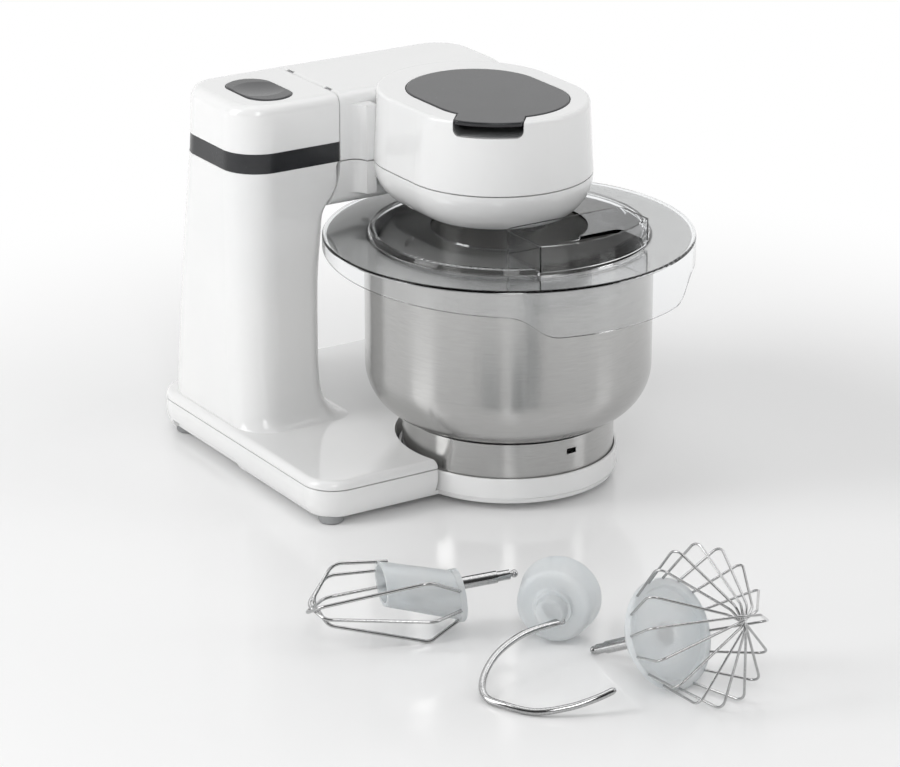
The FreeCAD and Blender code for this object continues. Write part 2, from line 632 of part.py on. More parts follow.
def head_upper(inset, bottom):
    top = HEAD_TOP_Z - inset
    solid = loft([stadium(HEAD_X, HEAD_Y1, HEAD_Y2, HEAD_R - inset, bottom),
                  stadium(HEAD_X, HEAD_Y1, HEAD_Y2, HEAD_R_TOP - inset, top)], True)
    if inset == 0:
        solid = solid.makeFillet(HEAD_EDGE, edges_at(solid, top))
    return solid


HEAD_BELLY = [(0.0, 0.0), (0.24, 0.035), (0.5, 0.19), (0.75, 0.48), (0.92, 0.8), (1.0, 1.0)]


def head_lower(inset, top):
    """Rounded underside of the head; each level narrows by a share of the whole taper."""
    wires = []
    drop = ARM_LOW_TOP - HEAD_LOW_Z
    for down, narrow in HEAD_BELLY:
        r = HEAD_R - 0.1 - (HEAD_R - HEAD_LOW_R) * narrow - inset
        wires.append(stadium(HEAD_X, HEAD_Y1, HEAD_Y2, r, ARM_LOW_TOP - (drop - inset) * down))
    solid = loft(wires)
    if top > ARM_LOW_TOP:
        solid = solid.fuse(prism(stadium(HEAD_X, HEAD_Y1, HEAD_Y2, HEAD_R - 0.1 - inset, ARM_LOW_TOP),
                                 top - ARM_LOW_TOP))
    return solid


def corner_fill(z0, z1):
    """Concave corner between the arm's front face and the left side of the head."""
    x = HEAD_X - HEAD_R
    y = TOWER_FRONT
    r = ARM_FILLET
    k = r * (1 - math.sqrt(0.5))
    inner = x + 8
    arc = Part.Arc(V(x - r, y, z0), V(x - k, y - k, z0), V(x, y - r, z0)).toShape()
    pts = [V(x, y - r, z0), V(inner, y - r, z0), V(inner, y + 8, z0), V(x - r, y + 8, z0), V(x - r, y, z0)]
    lines = [Part.makeLine(pts[i], pts[i + 1]) for i in range(4)]
    return prism(Part.Wire([arc] + lines), z1 - z0)


upper = fuse(arm_upper(0.0, ARM_UP_BOTTOM), head_upper(0.0, ARM_UP_BOTTOM),
             corner_fill(ARM_UP_BOTTOM, TOP_Z - TOP_EDGE))
upper = upper.cut(arm_upper(WALL, ARM_UP_BOTTOM - 1)).cut(head_upper(WALL, ARM_UP_BOTTOM - 1))
rib = box(SEAM_X, AXIS_X + 7, PIN_Y0 - 3, PIN_Y1 + 3, AXIS_Z - 7,
          TOP_Z).common(arm_upper(0.0, ARM_UP_BOTTOM))
upper = upper.fuse(rib)
upper = upper.cut(cyl_y(PIN_R + RUN, PIN_Y0 - 0.5, PIN_Y1 + 0.5, AXIS_X, AXIS_Z))
for y in EARS:
    y0 = y - FREE
    w = EAR_W + 2 * FREE
    upper = upper.cut(cyl_y(EAR_R + FREE, y0, y0 + w, AXIS_X, AXIS_Z))
    fan = [V(AXIS_X, y0, AXIS_Z)]
    for a in (98.0, 120.0, 150.0, 180.0, 215.0, 245.0):
        fan.append(V(AXIS_X + 9 * math.cos(math.radians(a)), y0, AXIS_Z + 9 * math.sin(math.radians(a))))
    upper = upper.cut(Part.Face(Part.makePolygon(fan + fan[:1])).extrude(V(0, w, 0)))
upper = upper.cut(box(SEAM_X, SEAM_X + SEAM_GAP + WALL + 1, *PAWL_SLOT))


def cover_wire(grow, z):
    return stadium(HEAD_X, COVER_Y1, COVER_Y2, COVER_R + grow, z)


def tab_block(half, reach, z0, z1):
    """Upright block that points from the cover's front centre along the tab's direction."""
    block = box(0, reach, -half, half, z0, z1)
    block.rotate(V(0, 0, 0), V(0, 0, 1), TAB_ANGLE)
    block.translate(V(HEAD_X, COVER_Y1, 0))
    return block


notch = tab_block(TAB_HALF + COVER_GAP, HEAD_R + 20, NOTCH_Z, HEAD_TOP_Z + 5)
notch = notch.makeFillet(5.0,
                         [e for e in notch.Edges if e.Length > HEAD_R and e.CenterOfMass.z < NOTCH_Z + 1])
CUP_UNDER = COVER_FLOOR_Z - 2.0
upper = upper.cut(prism(cover_wire(COVER_GAP, COVER_FLOOR_Z), 40))
upper = upper.cut(notch)
lower_arm = fuse(arm_lower(0.0, ARM_LOW_TOP), head_lower(0.0, ARM_LOW_TOP),
                 corner_fill(ARM_UNDER_Z + 8,
                             ARM_LOW_TOP).cut(box(-CUT, CUT, -CUT, CUT, 0, ARM_UNDER_Z + 6)))
lower_outer = lower_arm
lower_arm = lower_arm.cut(arm_lower(WALL, ARM_LOW_TOP + 1)).cut(head_lower(WALL, ARM_LOW_TOP + 1))
lower_arm = lower_arm.cut(cyl(CARRIER_R + 1.0, 0, HEAD_LOW_Z + 10))

# Screw posts that join the two arm shells
ARM_POST_R = 4.5
ARM_POSTS = [(SEAM_X + 30, TOWER_FRONT + 15, TOP_Z), (SEAM_X + 30, ARM_BACK - 18, TOP_Z),
             (ARM_RIGHT - 18, ARM_BACK - 26, TOP_Z), (HEAD_X - HEAD_R + 11, HEAD_Y1 + 24, HEAD_TOP_Z),
             (HEAD_X + HEAD_R - 11, HEAD_Y1 + 24, HEAD_TOP_Z)]
ARM_SCREW_Z = ARM_UNDER_Z + 16.0
arm_screws = []
for x, y, roof in ARM_POSTS:
    post = cyl(ARM_POST_R, ARM_UNDER_Z, ARM_LOW_TOP, x, y).common(lower_outer)
    lower_arm = lower_arm.fuse(post).fuse(cyl(ARM_POST_R, ARM_LOW_TOP - 5, BAND_Z, x, y))
    lower_arm = lower_arm.cut(cyl(SCREW_R, 0, BAND_Z + 1, x, y)).cut(cyl(SCREW_HEAD_R, 0, ARM_SCREW_Z,
                                                                         x, y))
    upper = upper.fuse(cyl(ARM_POST_R, BAND_Z, roof - WALL + 1, x, y)).cut(cyl(SCREW_R, BAND_Z - 1,
                                                                               BAND_Z + 14, x, y))
    arm_screws.append(cyl(SCREW_R, ARM_SCREW_Z, BAND_Z + 14, x, y)
                      .fuse(cyl(SCREW_HEAD_R, ARM_SCREW_Z - 2.2, ARM_SCREW_Z, x, y)))
add("arm_screws", *arm_screws)

# Drive cover with its tab, and the cup under it
cover = prism(cover_wire(0.0, COVER_TOP_Z - COVER_T), COVER_T)
tab = tab_block(TAB_HALF, HEAD_R - 1.5, COVER_TOP_Z - COVER_T, COVER_TOP_Z)
tab = tab.common(prism(stadium(HEAD_X, HEAD_Y1, HEAD_Y2, HEAD_R_TOP + 0.5, COVER_TOP_Z - COVER_T), COVER_T))
tab = tab.makeFillet(4.0, [e for e in tab.Edges if abs(e.Length - COVER_T) < 1e-4
                           and math.hypot(e.CenterOfMass.x - HEAD_X,
                                          e.CenterOfMass.y - HEAD_Y1) > HEAD_R * 0.8])
cover = fuse(cover, tab)
cover = cover.makeFillet(1.2, edges_at(cover, COVER_TOP_Z))
LEDGE_Z = COVER_TOP_Z - COVER_T - 0.3
skirt = prism(cover_wire(-5.0, LEDGE_Z - 3),
              COVER_T + 3).cut(prism(cover_wire(-7.0, LEDGE_Z - 4), COVER_T + 3))
add("drive_cover", fuse(cover, skirt))
cup = prism(cover_wire(COVER_GAP, CUP_UNDER), LEDGE_Z - CUP_UNDER)
cup = cup.cut(prism(cover_wire(-3.5, COVER_FLOOR_Z), 40))
COUPLING_R = 9.0
cup = cup.cut(cyl(COUPLING_R + 1.0, 0, 400))
flange_z = HEAD_TOP_Z - WALL
cup = cup.fuse(prism(cover_wire(COVER_GAP + 5, flange_z - 2),
                     2).cut(prism(cover_wire(COVER_GAP - 1, flange_z - 3), 9)))
cup = cup.common(prism(stadium(HEAD_X, HEAD_Y1, HEAD_Y2, HEAD_R_TOP - WALL - 0.4, 0), 400))
cup = cup.cut(notch)
pocket = tab_block(TAB_HALF + COVER_GAP + 2, HEAD_R, NOTCH_Z - 2, flange_z)
pocket = pocket.common(prism(stadium(HEAD_X, HEAD_Y1, HEAD_Y2, HEAD_R_TOP - WALL - 0.4, 0), 400))
pocket = pocket.cut(prism(cover_wire(COVER_GAP - 0.5, 0), 400)).cut(notch)
cup = cup.fuse(pocket)
for x, y, roof in ARM_POSTS:
    cup = cup.cut(cyl(ARM_POST_R + 0.3, 0, 400, x, y))
add("drive_cup", cup)

# Gearbox in the head
PLANET_X = GEAR_M * (SUN_N + PLANET_N) / 2
RING_Z0 = GEAR_Z - 0.3
RING_Z1 = GEAR_Z + GEAR_H + 0.3
BOX_OUT_R = RING_OUT_R + 4.0
BOX_ROOF = RING_Z1 + 3.0
NECK_R = 13.5
NECK_TOP = PULLEY_Z - 3.5
BEARING_R = 10.0
BEARING_H = 6.5
GEARBOX_LOW = HEAD_LOW_Z + WALL
gearbox = turned([(CARRIER_R + RUN, GEARBOX_LOW, 0), (BOX_OUT_R, GEARBOX_LOW, 0),
                  (BOX_OUT_R, BOX_ROOF + 3, 2),
                  (NECK_R, BOX_ROOF + 3, 2), (NECK_R, NECK_TOP, 1), (BEARING_R, NECK_TOP, 0),
                  (BEARING_R, BOX_ROOF + 4, 0), (SHAFT_R + 3, BOX_ROOF + 4, 0), (SHAFT_R + 3, BOX_ROOF, 0),
                  (RING_OUT_R - 3, BOX_ROOF, 0), (RING_OUT_R - 3, RING_Z1, 0), (RING_OUT_R, RING_Z1, 0),
                  (RING_OUT_R, RING_Z0, 0), (CARRIER_R + RUN, RING_Z0, 0)])
gear_lugs = []
for a in (90.0, 210.0, 330.0):
    x = (BOX_OUT_R + 4.5) * math.cos(math.radians(a))
    y = (BOX_OUT_R + 4.5) * math.sin(math.radians(a))
    lug = cyl(5.0, BOX_ROOF - 3, BOX_ROOF + 1, x, y).cut(cyl(BOX_OUT_R - 1, 0, 400))
    gearbox = gearbox.fuse(lug).cut(cyl(SCREW_R, BOX_ROOF - 9, BOX_ROOF + 2, x, y))
    post = cyl(5.0, HEAD_LOW_Z, BOX_ROOF - 3, x, y).common(lower_outer).cut(cyl(BOX_OUT_R + 0.2, 0, 400))
    lower_arm = lower_arm.fuse(post).cut(cyl(SCREW_R, BOX_ROOF - 9, BOX_ROOF, x, y))
    gear_lugs.append(cyl(SCREW_R, BOX_ROOF - 9, BOX_ROOF + 1, x,
                         y).fuse(cyl(SCREW_HEAD_R, BOX_ROOF + 1, BOX_ROOF + 3.2, x, y)))
lower_arm = lower_arm.cut(cyl(BOX_OUT_R, GEARBOX_LOW, BOX_ROOF + 3))
add("gearbox_housing", gearbox)
add("gearbox_screws", *gear_lugs)
bearings = [tube(BEARING_R, SHAFT_R + RUN, z, z + BEARING_H) for z in (BOX_ROOF + 4, NECK_TOP - BEARING_H)]
add("main_bearings", *bearings)


def involute(n, r_tip, r_root, thick, turn, z0, h):
    """Spur gear solid with n teeth; thick scales the tooth width at the pitch circle."""
    pitch_r = GEAR_M * n / 2
    base_r = pitch_r * math.cos(math.radians(20))
    inv0 = math.tan(math.radians(20)) - math.radians(20)
    half = math.pi / (2 * n) * thick
    flank = []
    for i in range(6):
        r = max(base_r, r_root) + (r_tip - max(base_r, r_root)) * i / 5
        a = math.acos(min(1.0, base_r / r))
        flank.append((r, half + inv0 - (math.tan(a) - a)))
    if r_root < base_r:
        flank.insert(0, (r_root, flank[0][1]))
    pts = []
    for k in range(n):
        mid = math.radians(turn) + 2 * math.pi * k / n
        for r, w in flank:
            pts.append(V(r * math.cos(mid - w), r * math.sin(mid - w), z0))
        for r, w in reversed(flank):
            pts.append(V(r * math.cos(mid + w), r * math.sin(mid + w), z0))
    return Part.Face(Part.makePolygon(pts + pts[:1])).extrude(V(0, 0, h))


SLACK = 0.94
sun_r = GEAR_M * SUN_N / 2
planet_r = GEAR_M * PLANET_N / 2
ring_r = GEAR_M * RING_N / 2
teeth = involute(RING_N, ring_r + 1.2 * GEAR_M, ring_r - 0.85 * GEAR_M, 2 - SLACK, 180.0 / RING_N,
                 RING_Z0 - 1, GEAR_H + 3)
add("ring_gear", cyl(RING_OUT_R, RING_Z0, RING_Z1).cut(teeth))
sun = involute(SUN_N, sun_r + 0.9 * GEAR_M, sun_r - 1.2 * GEAR_M, SLACK, 0.0, GEAR_Z, GEAR_H)
SHAFT_TOP = COVER_FLOOR_Z + 6.0
add("main_shaft", fuse(sun, cyl(SHAFT_R, GEAR_Z + GEAR_H - 1, SHAFT_TOP),
                       cyl(SHAFT_R - 1, GEAR_Z - 2.5, GEAR_Z + 1)))
gear = involute(PLANET_N, planet_r + 0.9 * GEAR_M, planet_r - 1.2 * GEAR_M, SLACK, 180.0 / PLANET_N,
                GEAR_Z, GEAR_H)

# Planet carrier, the two idle planets and the tool spindle
PIN_PLANET_R = 3.0
carrier_top = GEAR_Z - 0.4
carrier = cyl(CARRIER_R, GEARBOX_LOW + 0.3, carrier_top - 0.3)
carrier = carrier.fuse(cyl(CARRIER_R - 1.5, CARRIER_Z, GEARBOX_LOW + 1))
carrier = carrier.makeFillet(1.5, edges_at(carrier, CARRIER_Z))
carrier = carrier.cut(cyl(SHAFT_R - 1 + RUN, GEAR_Z - 4, GEAR_Z + 1))
SPINDLE_BOSS_Z = CARRIER_Z - 3.0
carrier = carrier.fuse(cyl(SPINDLE_SLEEVE_R + 2.5, SPINDLE_BOSS_Z, CARRIER_Z + 1, PLANET_X, 0))
carrier = carrier.cut(cyl(SPINDLE_R + RUN, 0, 400, PLANET_X, 0))
planets = []
for a in (120.0, 240.0):
    x = PLANET_X * math.cos(math.radians(a))
    y = PLANET_X * math.sin(math.radians(a))
    carrier = carrier.fuse(cyl(PIN_PLANET_R, carrier_top - 2, GEAR_Z + GEAR_H - 0.5, x, y))
    planet = gear.cut(cyl(PIN_PLANET_R + RUN, 0, 400))
    planet.rotate(V(0, 0, 0), V(0, 0, 1), a)
    planet.translate(V(x, y, 0))
    planets.append(planet)
add("planet_carrier", carrier)
add("planet_gear_2", planets[0])
add("planet_gear_3", planets[1])
spindle = gear.fuse(cyl(SPINDLE_R, SPINDLE_END_Z + 2, GEAR_Z + 1))
spindle = spindle.fuse(cyl(SPINDLE_SLEEVE_R, SPINDLE_END_Z, SPINDLE_BOSS_Z - FREE))
spindle = spindle.cut(cyl(TOOL_BORE_R, SPINDLE_END_Z - 1, SPINDLE_END_Z + TOOL_BORE_L))
spindle = spindle.cut(box(-SPINDLE_SLEEVE_R - 1, SPINDLE_SLEEVE_R + 1, -1.5, 1.5, SPINDLE_END_Z - 1,
                          SPINDLE_END_Z + 7))
spindle.translate(V(PLANET_X, 0, 0))
add("tool_spindle", spindle)

# Belt drive
PULLEY_TOP = PULLEY_Z + PULLEY_H
big = turned([(SHAFT_R, PULLEY_Z - 1, 0), (SHAFT_R + 5, PULLEY_Z - 1, 0), (SHAFT_R + 5, PULLEY_Z + 4, 1.5),
              (PULLEY_R - 4, PULLEY_Z + 4, 1.5), (PULLEY_R - 4, PULLEY_Z, 0), (PULLEY_R + 1.6, PULLEY_Z, 0),
              (PULLEY_R + 1.6, PULLEY_Z + 1, 0), (PULLEY_R, PULLEY_Z + 1, 0), (PULLEY_R, PULLEY_TOP - 1, 0),
              (PULLEY_R + 1.6, PULLEY_TOP - 1, 0), (PULLEY_R + 1.6, PULLEY_TOP, 0),
              (PULLEY_R - 4, PULLEY_TOP, 0),
              (PULLEY_R - 4, PULLEY_Z + 8, 1.5), (SHAFT_R + 5, PULLEY_Z + 8, 1.5),
              (SHAFT_R + 5, PULLEY_TOP, 0),
              (SHAFT_R, PULLEY_TOP, 0)])
for k in range(6):
    a = math.radians(60 * k + 30)
    big = big.cut(cyl(7.5, 0, 400, 24 * math.cos(a), 24 * math.sin(a)))
add("large_pulley", big)
coupling = cyl(COUPLING_R - 2.2, PULLEY_TOP + 0.4, SHAFT_TOP + 2)
for k in range(6):
    a = math.radians(60 * k)
    coupling = coupling.fuse(cyl(2.2, PULLEY_TOP + 0.4, SHAFT_TOP + 2, (COUPLING_R - 2.2) * math.cos(a),
                                 (COUPLING_R - 2.2) * math.sin(a)))
add("drive_coupling", coupling.cut(cyl(SHAFT_R, 0, SHAFT_TOP)))
small = turned([(ROTOR_SHAFT_R, PULLEY_Z, 0), (MOTOR_PULLEY_R + 1.6, PULLEY_Z, 0),
                (MOTOR_PULLEY_R + 1.6, PULLEY_Z + 1, 0),
                (MOTOR_PULLEY_R, PULLEY_Z + 1, 0), (MOTOR_PULLEY_R, PULLEY_TOP - 1, 0),
                (MOTOR_PULLEY_R + 1.6, PULLEY_TOP - 1, 0), (MOTOR_PULLEY_R + 1.6, PULLEY_TOP, 0),
                (ROTOR_SHAFT_R, PULLEY_TOP, 0)], MOTOR_X, MOTOR_Y)
add("motor_pulley", small)


def belt_loop(grow, z0, h):
    """Region enclosed by a belt round both pulleys, grown outwards."""
    r1 = PULLEY_R + grow
    r2 = MOTOR_PULLEY_R + grow
    d = math.hypot(MOTOR_X, MOTOR_Y)
    lean = math.asin((r1 - r2) / d)
    along = math.atan2(MOTOR_Y, MOTOR_X)
    hull = [V(r1 * math.cos(along + s), r1 * math.sin(along + s), z0)
            for s in (-math.pi / 2 + lean, math.pi / 2 - lean)]
    hull += [V(MOTOR_X + r2 * math.cos(along + s), MOTOR_Y + r2 * math.sin(along + s), z0)
             for s in (math.pi / 2 - lean, -math.pi / 2 + lean)]
    web = Part.Face(Part.makePolygon(hull + hull[:1])).extrude(V(0, 0, h))
    return fuse(web, cyl(r1, z0, z0 + h), cyl(r2, z0, z0 + h, MOTOR_X, MOTOR_Y))


belt = belt_loop(0.3 + BELT_T, PULLEY_Z + 1.5, PULLEY_H - 3).cut(belt_loop(0.3, PULLEY_Z, PULLEY_H))
add("drive_belt", belt)

# Motor, standing on the floor of the arm
MOTOR_FLOOR = ARM_UNDER_Z + WALL
STATOR_Z = MOTOR_FLOOR + 9.0
STATOR_H = 33.0
STATOR_TOP = STATOR_Z + STATOR_H
CAP_Z = STATOR_TOP + 5.0
CAP_TOP = PULLEY_Z - 4.0
mount = tube(MOTOR_R + 2.5, MOTOR_R - 4, MOTOR_FLOOR, STATOR_Z, MOTOR_X, MOTOR_Y)
mount = mount.fuse(tube(MOTOR_R + 2.5, MOTOR_R, STATOR_Z - 1, STATOR_Z + 8, MOTOR_X, MOTOR_Y))
mount = mount.fuse(cyl(7.0, MOTOR_FLOOR, MOTOR_FLOOR + 4, MOTOR_X, MOTOR_Y))
for a in (0.0, 120.0, 240.0):
    arm = box(0, MOTOR_R - 2, -3, 3, MOTOR_FLOOR, MOTOR_FLOOR + 3)
    arm.rotate(V(0, 0, 0), V(0, 0, 1), a)
    arm.translate(V(MOTOR_X, MOTOR_Y, 0))
    mount = mount.fuse(arm)
mount = mount.cut(cyl(ROTOR_SHAFT_R + RUN, MOTOR_FLOOR + 1.5, 400, MOTOR_X, MOTOR_Y))
COIL_W = 5.8
COIL_L = 17.8
COIL_OUT = 4.0
COIL_X = ROTOR_R + 4.4
for sx in (-1, 1):
    x = MOTOR_X + sx * COIL_X
    mount = mount.cut(box(x - COIL_W / 2 - FREE, x + COIL_W / 2 + FREE, MOTOR_Y - COIL_L / 2 - FREE,
                          MOTOR_Y + COIL_L / 2 + FREE, STATOR_Z - COIL_OUT - FREE, STATOR_Z))
add("motor_mount", mount)
stator = tube(MOTOR_R, ROTOR_R + 0.8, STATOR_Z, STATOR_TOP, MOTOR_X, MOTOR_Y)
for sx in (-1, 1):
    x = MOTOR_X + sx * COIL_X
    stator = stator.cut(box(x - COIL_W / 2 - 0.1, x + COIL_W / 2 + 0.1, MOTOR_Y - COIL_L / 2 - 0.1,
                            MOTOR_Y + COIL_L / 2 + 0.1, STATOR_Z - 1, STATOR_TOP + 1))
add("motor_stator", stator)
coils = []
for sx in (-1, 1):
    x = MOTOR_X + sx * COIL_X
    coils.append(box(x - COIL_W / 2, x + COIL_W / 2, MOTOR_Y - COIL_L / 2, MOTOR_Y + COIL_L / 2,
                     STATOR_Z - COIL_OUT, STATOR_TOP + COIL_OUT))
add("motor_windings", *coils)
endcap = cyl(MOTOR_R, CAP_Z, CAP_TOP, MOTOR_X,
             MOTOR_Y).fuse(tube(MOTOR_R, MOTOR_R - 2.2, STATOR_TOP, CAP_Z, MOTOR_X, MOTOR_Y))
endcap = endcap.cut(cyl(ROTOR_SHAFT_R + RUN, 0, 400, MOTOR_X, MOTOR_Y))
for k in range(8):
    a = math.radians(45 * k + 22.5)
    endcap = endcap.cut(cyl(4.0, 0, 400, MOTOR_X + 24 * math.cos(a), MOTOR_Y + 24 * math.sin(a)))
COMM_R = 9.0
brushes = []
for sy in (-1, 1):
    y = MOTOR_Y + sy * (COMM_R + 6)
    brushes.append(box(MOTOR_X - 3, MOTOR_X + 3, y - 5.5, y + 5.5, STATOR_TOP - 1.5, CAP_Z))
add("motor_brushes", *brushes)
add("motor_end_cap", endcap)
rotor = cyl(ROTOR_SHAFT_R, MOTOR_FLOOR + 2, PULLEY_TOP + 1, MOTOR_X, MOTOR_Y)
rotor = rotor.fuse(cyl(ROTOR_R, STATOR_Z + 1, STATOR_TOP - 3, MOTOR_X, MOTOR_Y))
for k in range(12):
    a = math.radians(30 * k)
    rotor = rotor.cut(cyl(2.0, STATOR_Z, STATOR_TOP, MOTOR_X + (ROTOR_R - 2.6) * math.cos(a),
                          MOTOR_Y + (ROTOR_R - 2.6) * math.sin(a)))
rotor = rotor.fuse(cyl(COMM_R, STATOR_TOP - 4, CAP_Z - 1, MOTOR_X, MOTOR_Y))
add("motor_rotor", rotor)
fan = tube(7.0, ROTOR_SHAFT_R, MOTOR_FLOOR + 4.8, STATOR_Z - 0.4, MOTOR_X, MOTOR_Y)
for k in range(9):
    blade = box(6, ROTOR_R - 1, -0.7, 0.7, MOTOR_FLOOR + 4.8, STATOR_Z - 0.4)
    blade.rotate(V(0, 0, 0), V(0, 0, 1), 40 * k)
    blade.translate(V(MOTOR_X, MOTOR_Y, 0))
    fan = fan.fuse(blade)
add("motor_fan", fan)
add("arm_upper_shell", upper)
add("arm_lower_shell", lower_arm)

# Bowl
foot_in = BOWL_R - BOWL_FLOOR_R
arc_r = (foot_in ** 2 + (BOWL_BEND_Z - BOWL_FLOOR_Z - 1.5) ** 2) / (2 * foot_in)


def bowl_side(r_wall, z_floor):
    """Outline points of the bowl wall from its foot to its bend, as an arc tangent to the wall."""
    c = r_wall - arc_r
    drop = math.asin(min(1.0, (BOWL_BEND_Z - z_floor) / arc_r))
    a = drop / 2
    return (V(c + arc_r * math.cos(drop), 0, BOWL_BEND_Z - arc_r * math.sin(drop)),
            V(c + arc_r * math.cos(a), 0, BOWL_BEND_Z - arc_r * math.sin(a)), V(r_wall, 0, BOWL_BEND_Z))


def bowl_solid(inset):
    foot, mid, bend = bowl_side(BOWL_R - inset, BOWL_FLOOR_Z + inset)
    top = V(BOWL_R - inset, 0, FLANGE_Z + inset)
    pts = [bend, top, V(0, 0, FLANGE_Z + inset), V(0, 0, BOWL_FLOOR_Z + inset), foot]
    edges = [Part.Arc(foot, mid, bend).toShape()]
    edges += [Part.makeLine(pts[i], pts[i + 1]) for i in range(4)]
    return Part.Face(Part.Wire(edges)).revolve(V(0, 0, 0), V(0, 0, 1), 360)


bowl = bowl_solid(0.0).fuse(turned([(0, FLANGE_Z - BOWL_T, 0), (FLANGE_R, FLANGE_Z - BOWL_T, 0.5),
                                    (FLANGE_R, FLANGE_Z, 0.5),
                                    (0, FLANGE_Z, 0)]))
bowl = bowl.cut(bowl_solid(BOWL_T))
add("bowl", bowl)
ring = tube(RING_R, RING_R - RING_T, SOCKET_FLOOR + 0.3, BOWL_FLOOR_Z)
for a in LUGS:
    slot_z1 = LUG_Z + LUG_H + FREE
    ring = ring.cut(sector(RING_R + 1, RING_R - 4, LUG_Z - FREE, slot_z1, a - LUG_HALF - 0.5,
                           a + TWIST + LUG_HALF + 0.5))
    ring = ring.cut(sector(RING_R + 1, RING_R - 4, 0, slot_z1, a + TWIST - LUG_HALF - 0.5,
                           a + TWIST + LUG_HALF + 0.5))
MARK_Z = 38.5
for a in (-87.0, 33.0, 153.0):
    ring = ring.cut(sector(RING_R + 1, RING_R - 4, MARK_Z, MARK_Z + 4, a - 3, a + 3))
add("bowl_ring", ring)

# Clear lid with its filler collar
LID_SEAT = FLANGE_Z + 0.3
LID_R = FLANGE_R + LID_PLAY + LID_T
lid = turned([(LID_HOLE_R, LID_TOP_Z - LID_T, 0), (LID_STEP_R - 3.5, LID_TOP_Z - LID_T, 1.5),
              (LID_STEP_R - 2, LID_SEAT, 1.0), (FLANGE_R + LID_PLAY, LID_SEAT, 0),
              (FLANGE_R + LID_PLAY, FLANGE_Z - SKIRT_DEEP, 0), (LID_R, FLANGE_Z - SKIRT_DEEP, 0),
              (LID_R, LID_SEAT + LID_T, 1.6), (LID_STEP_R + 0.5, LID_SEAT + LID_T, 1.0),
              (LID_STEP_R - 1.5, LID_TOP_Z, 1.5), (LID_HOLE_R, LID_TOP_Z, 0)])
SKIRT_FROM = -107.0
SKIRT_TO = -62.0
SWAY = 17.0
shallow = FLANGE_Z - SKIRT_SHALLOW
skirt_mid = (SKIRT_FROM + SKIRT_TO) / 2
reach = LID_R * math.cos(math.radians((SKIRT_TO - SKIRT_FROM) / 2 + SWAY))
under = box(-200, 200, -200, 200, -200, 0)
under.rotate(V(0, 0, 0), V(1, 0, 0), math.degrees(math.atan(SKIRT_TILT)))
under.rotate(V(0, 0, 0), V(0, 0, 1), skirt_mid + 90)
under.translate(V(0, 0, shallow + reach * SKIRT_TILT))
lid = lid.cut(under.common(sector(LID_R + 2, FLANGE_R - 1, 0, FLANGE_Z - 2, SKIRT_TO + SWAY,
                                  SKIRT_FROM - SWAY + 360)))
for side, edge in ((1, SKIRT_TO), (-1, SKIRT_FROM)):
    half = LID_R * math.tan(math.radians(SWAY / 2))
    low = FLANGE_Z - SKIRT_DEEP
    wave = Part.BSplineCurve()
    wave.interpolate([V(LID_R - 12, -half, low), V(LID_R - 12, 0, (low + shallow) / 2),
                      V(LID_R - 12, half, shallow)],
                     InitialTangent=V(0, 1, 0), FinalTangent=V(0, 1, 0))
    ends = [V(LID_R - 12, half, shallow), V(LID_R - 12, half + 1, shallow),
            V(LID_R - 12, half + 1, low - 10),
            V(LID_R - 12, -half, low - 10), V(LID_R - 12, -half, low)]
    wave_edges = [wave.toShape()] + [Part.makeLine(ends[i], ends[i + 1]) for i in range(4)]
    cutter = Part.Face(Part.Wire(wave_edges)).extrude(V(24, 0, 0))
    if side < 0:
        cutter = cutter.mirror(V(0, 0, 0), V(0, 1, 0))
    cutter.rotate(V(0, 0, 0), V(0, 0, 1), edge + side * SWAY / 2)
    lid = lid.cut(cutter)


def collar_plan(inset, z):
    r = COLLAR_R - inset
    x0 = COLLAR_LEFT + inset
    x1 = COLLAR_RIGHT - inset
    y = COLLAR_WALL_Y - inset
    band_box = rect(x0, x1, -COLLAR_R - 20, y, (8 - inset, 8 - inset, 8 - inset, 8 - inset), z)
    return prism(band_box, COLLAR_TOP_Z - z).common(cyl(r, 0, 400))


collar = collar_plan(0.0, LID_TOP_Z - LID_T)
lid = lid.fuse(collar).cut(collar_plan(LID_T, 0))
add("bowl_lid", lid)

# Loose tools. Each is built upright, shank tip at the origin and working end up, then laid down.


def lay(shape, tip, aim, roll=0.0):
    """Turn a tool about its axis, point its axis along aim and put its shank tip at tip."""
    out = shape.copy()
    out.rotate(V(0, 0, 0), V(0, 0, 1), roll)
    out.Placement = FreeCAD.Placement(V(*tip),
                                      FreeCAD.Rotation(V(0, 0, 1), V(*aim))).multiply(out.Placement)
    return out


def rod(pts, r):
    """Round wire through (point, bend radius) pairs."""
    ends = []
    for i, (p, bend) in enumerate(pts):
        if bend <= 0:
            ends.append((p, None, p))
            continue
        a = (pts[i - 1][0] - p).normalize()
        b = (pts[i + 1][0] - p).normalize()
        half = a.getAngle(b) / 2
        run = bend / math.tan(half)
        mid = (a + b).normalize()
        ends.append((p + a * run, p + mid * (bend / math.sin(half) - bend), p + b * run))
    edges = []
    for i, (start, mid, end) in enumerate(ends):
        if mid is not None:
            edges.append(Part.Arc(start, mid, end).toShape())
        if i + 1 < len(ends):
            edges.append(Part.makeLine(end, ends[i + 1][0]))
    first = Part.Wire([Part.makeCircle(r, pts[0][0], pts[1][0] - pts[0][0])])
    return Part.Wire(edges).makePipeShell([first], True, False)


SHANK_R = TOOL_BORE_R - TOOL_FIT


def shank(length):
    tip = Part.makeSphere(2.7, V(0, 0, 2.7))
    return fuse(tip, cyl(1.9, 2.7, 7), cyl(SHANK_R - 0.8, 6, 16), cyl(SHANK_R, 15, length))


def settle(*shapes):
    """Put a group of shapes down so that its lowest point touches the counter."""
    low = min(shape.optimalBoundingBox().ZMin for shape in shapes)
    for shape in shapes:
        shape.translate(V(0, 0, -low))
    return shapes


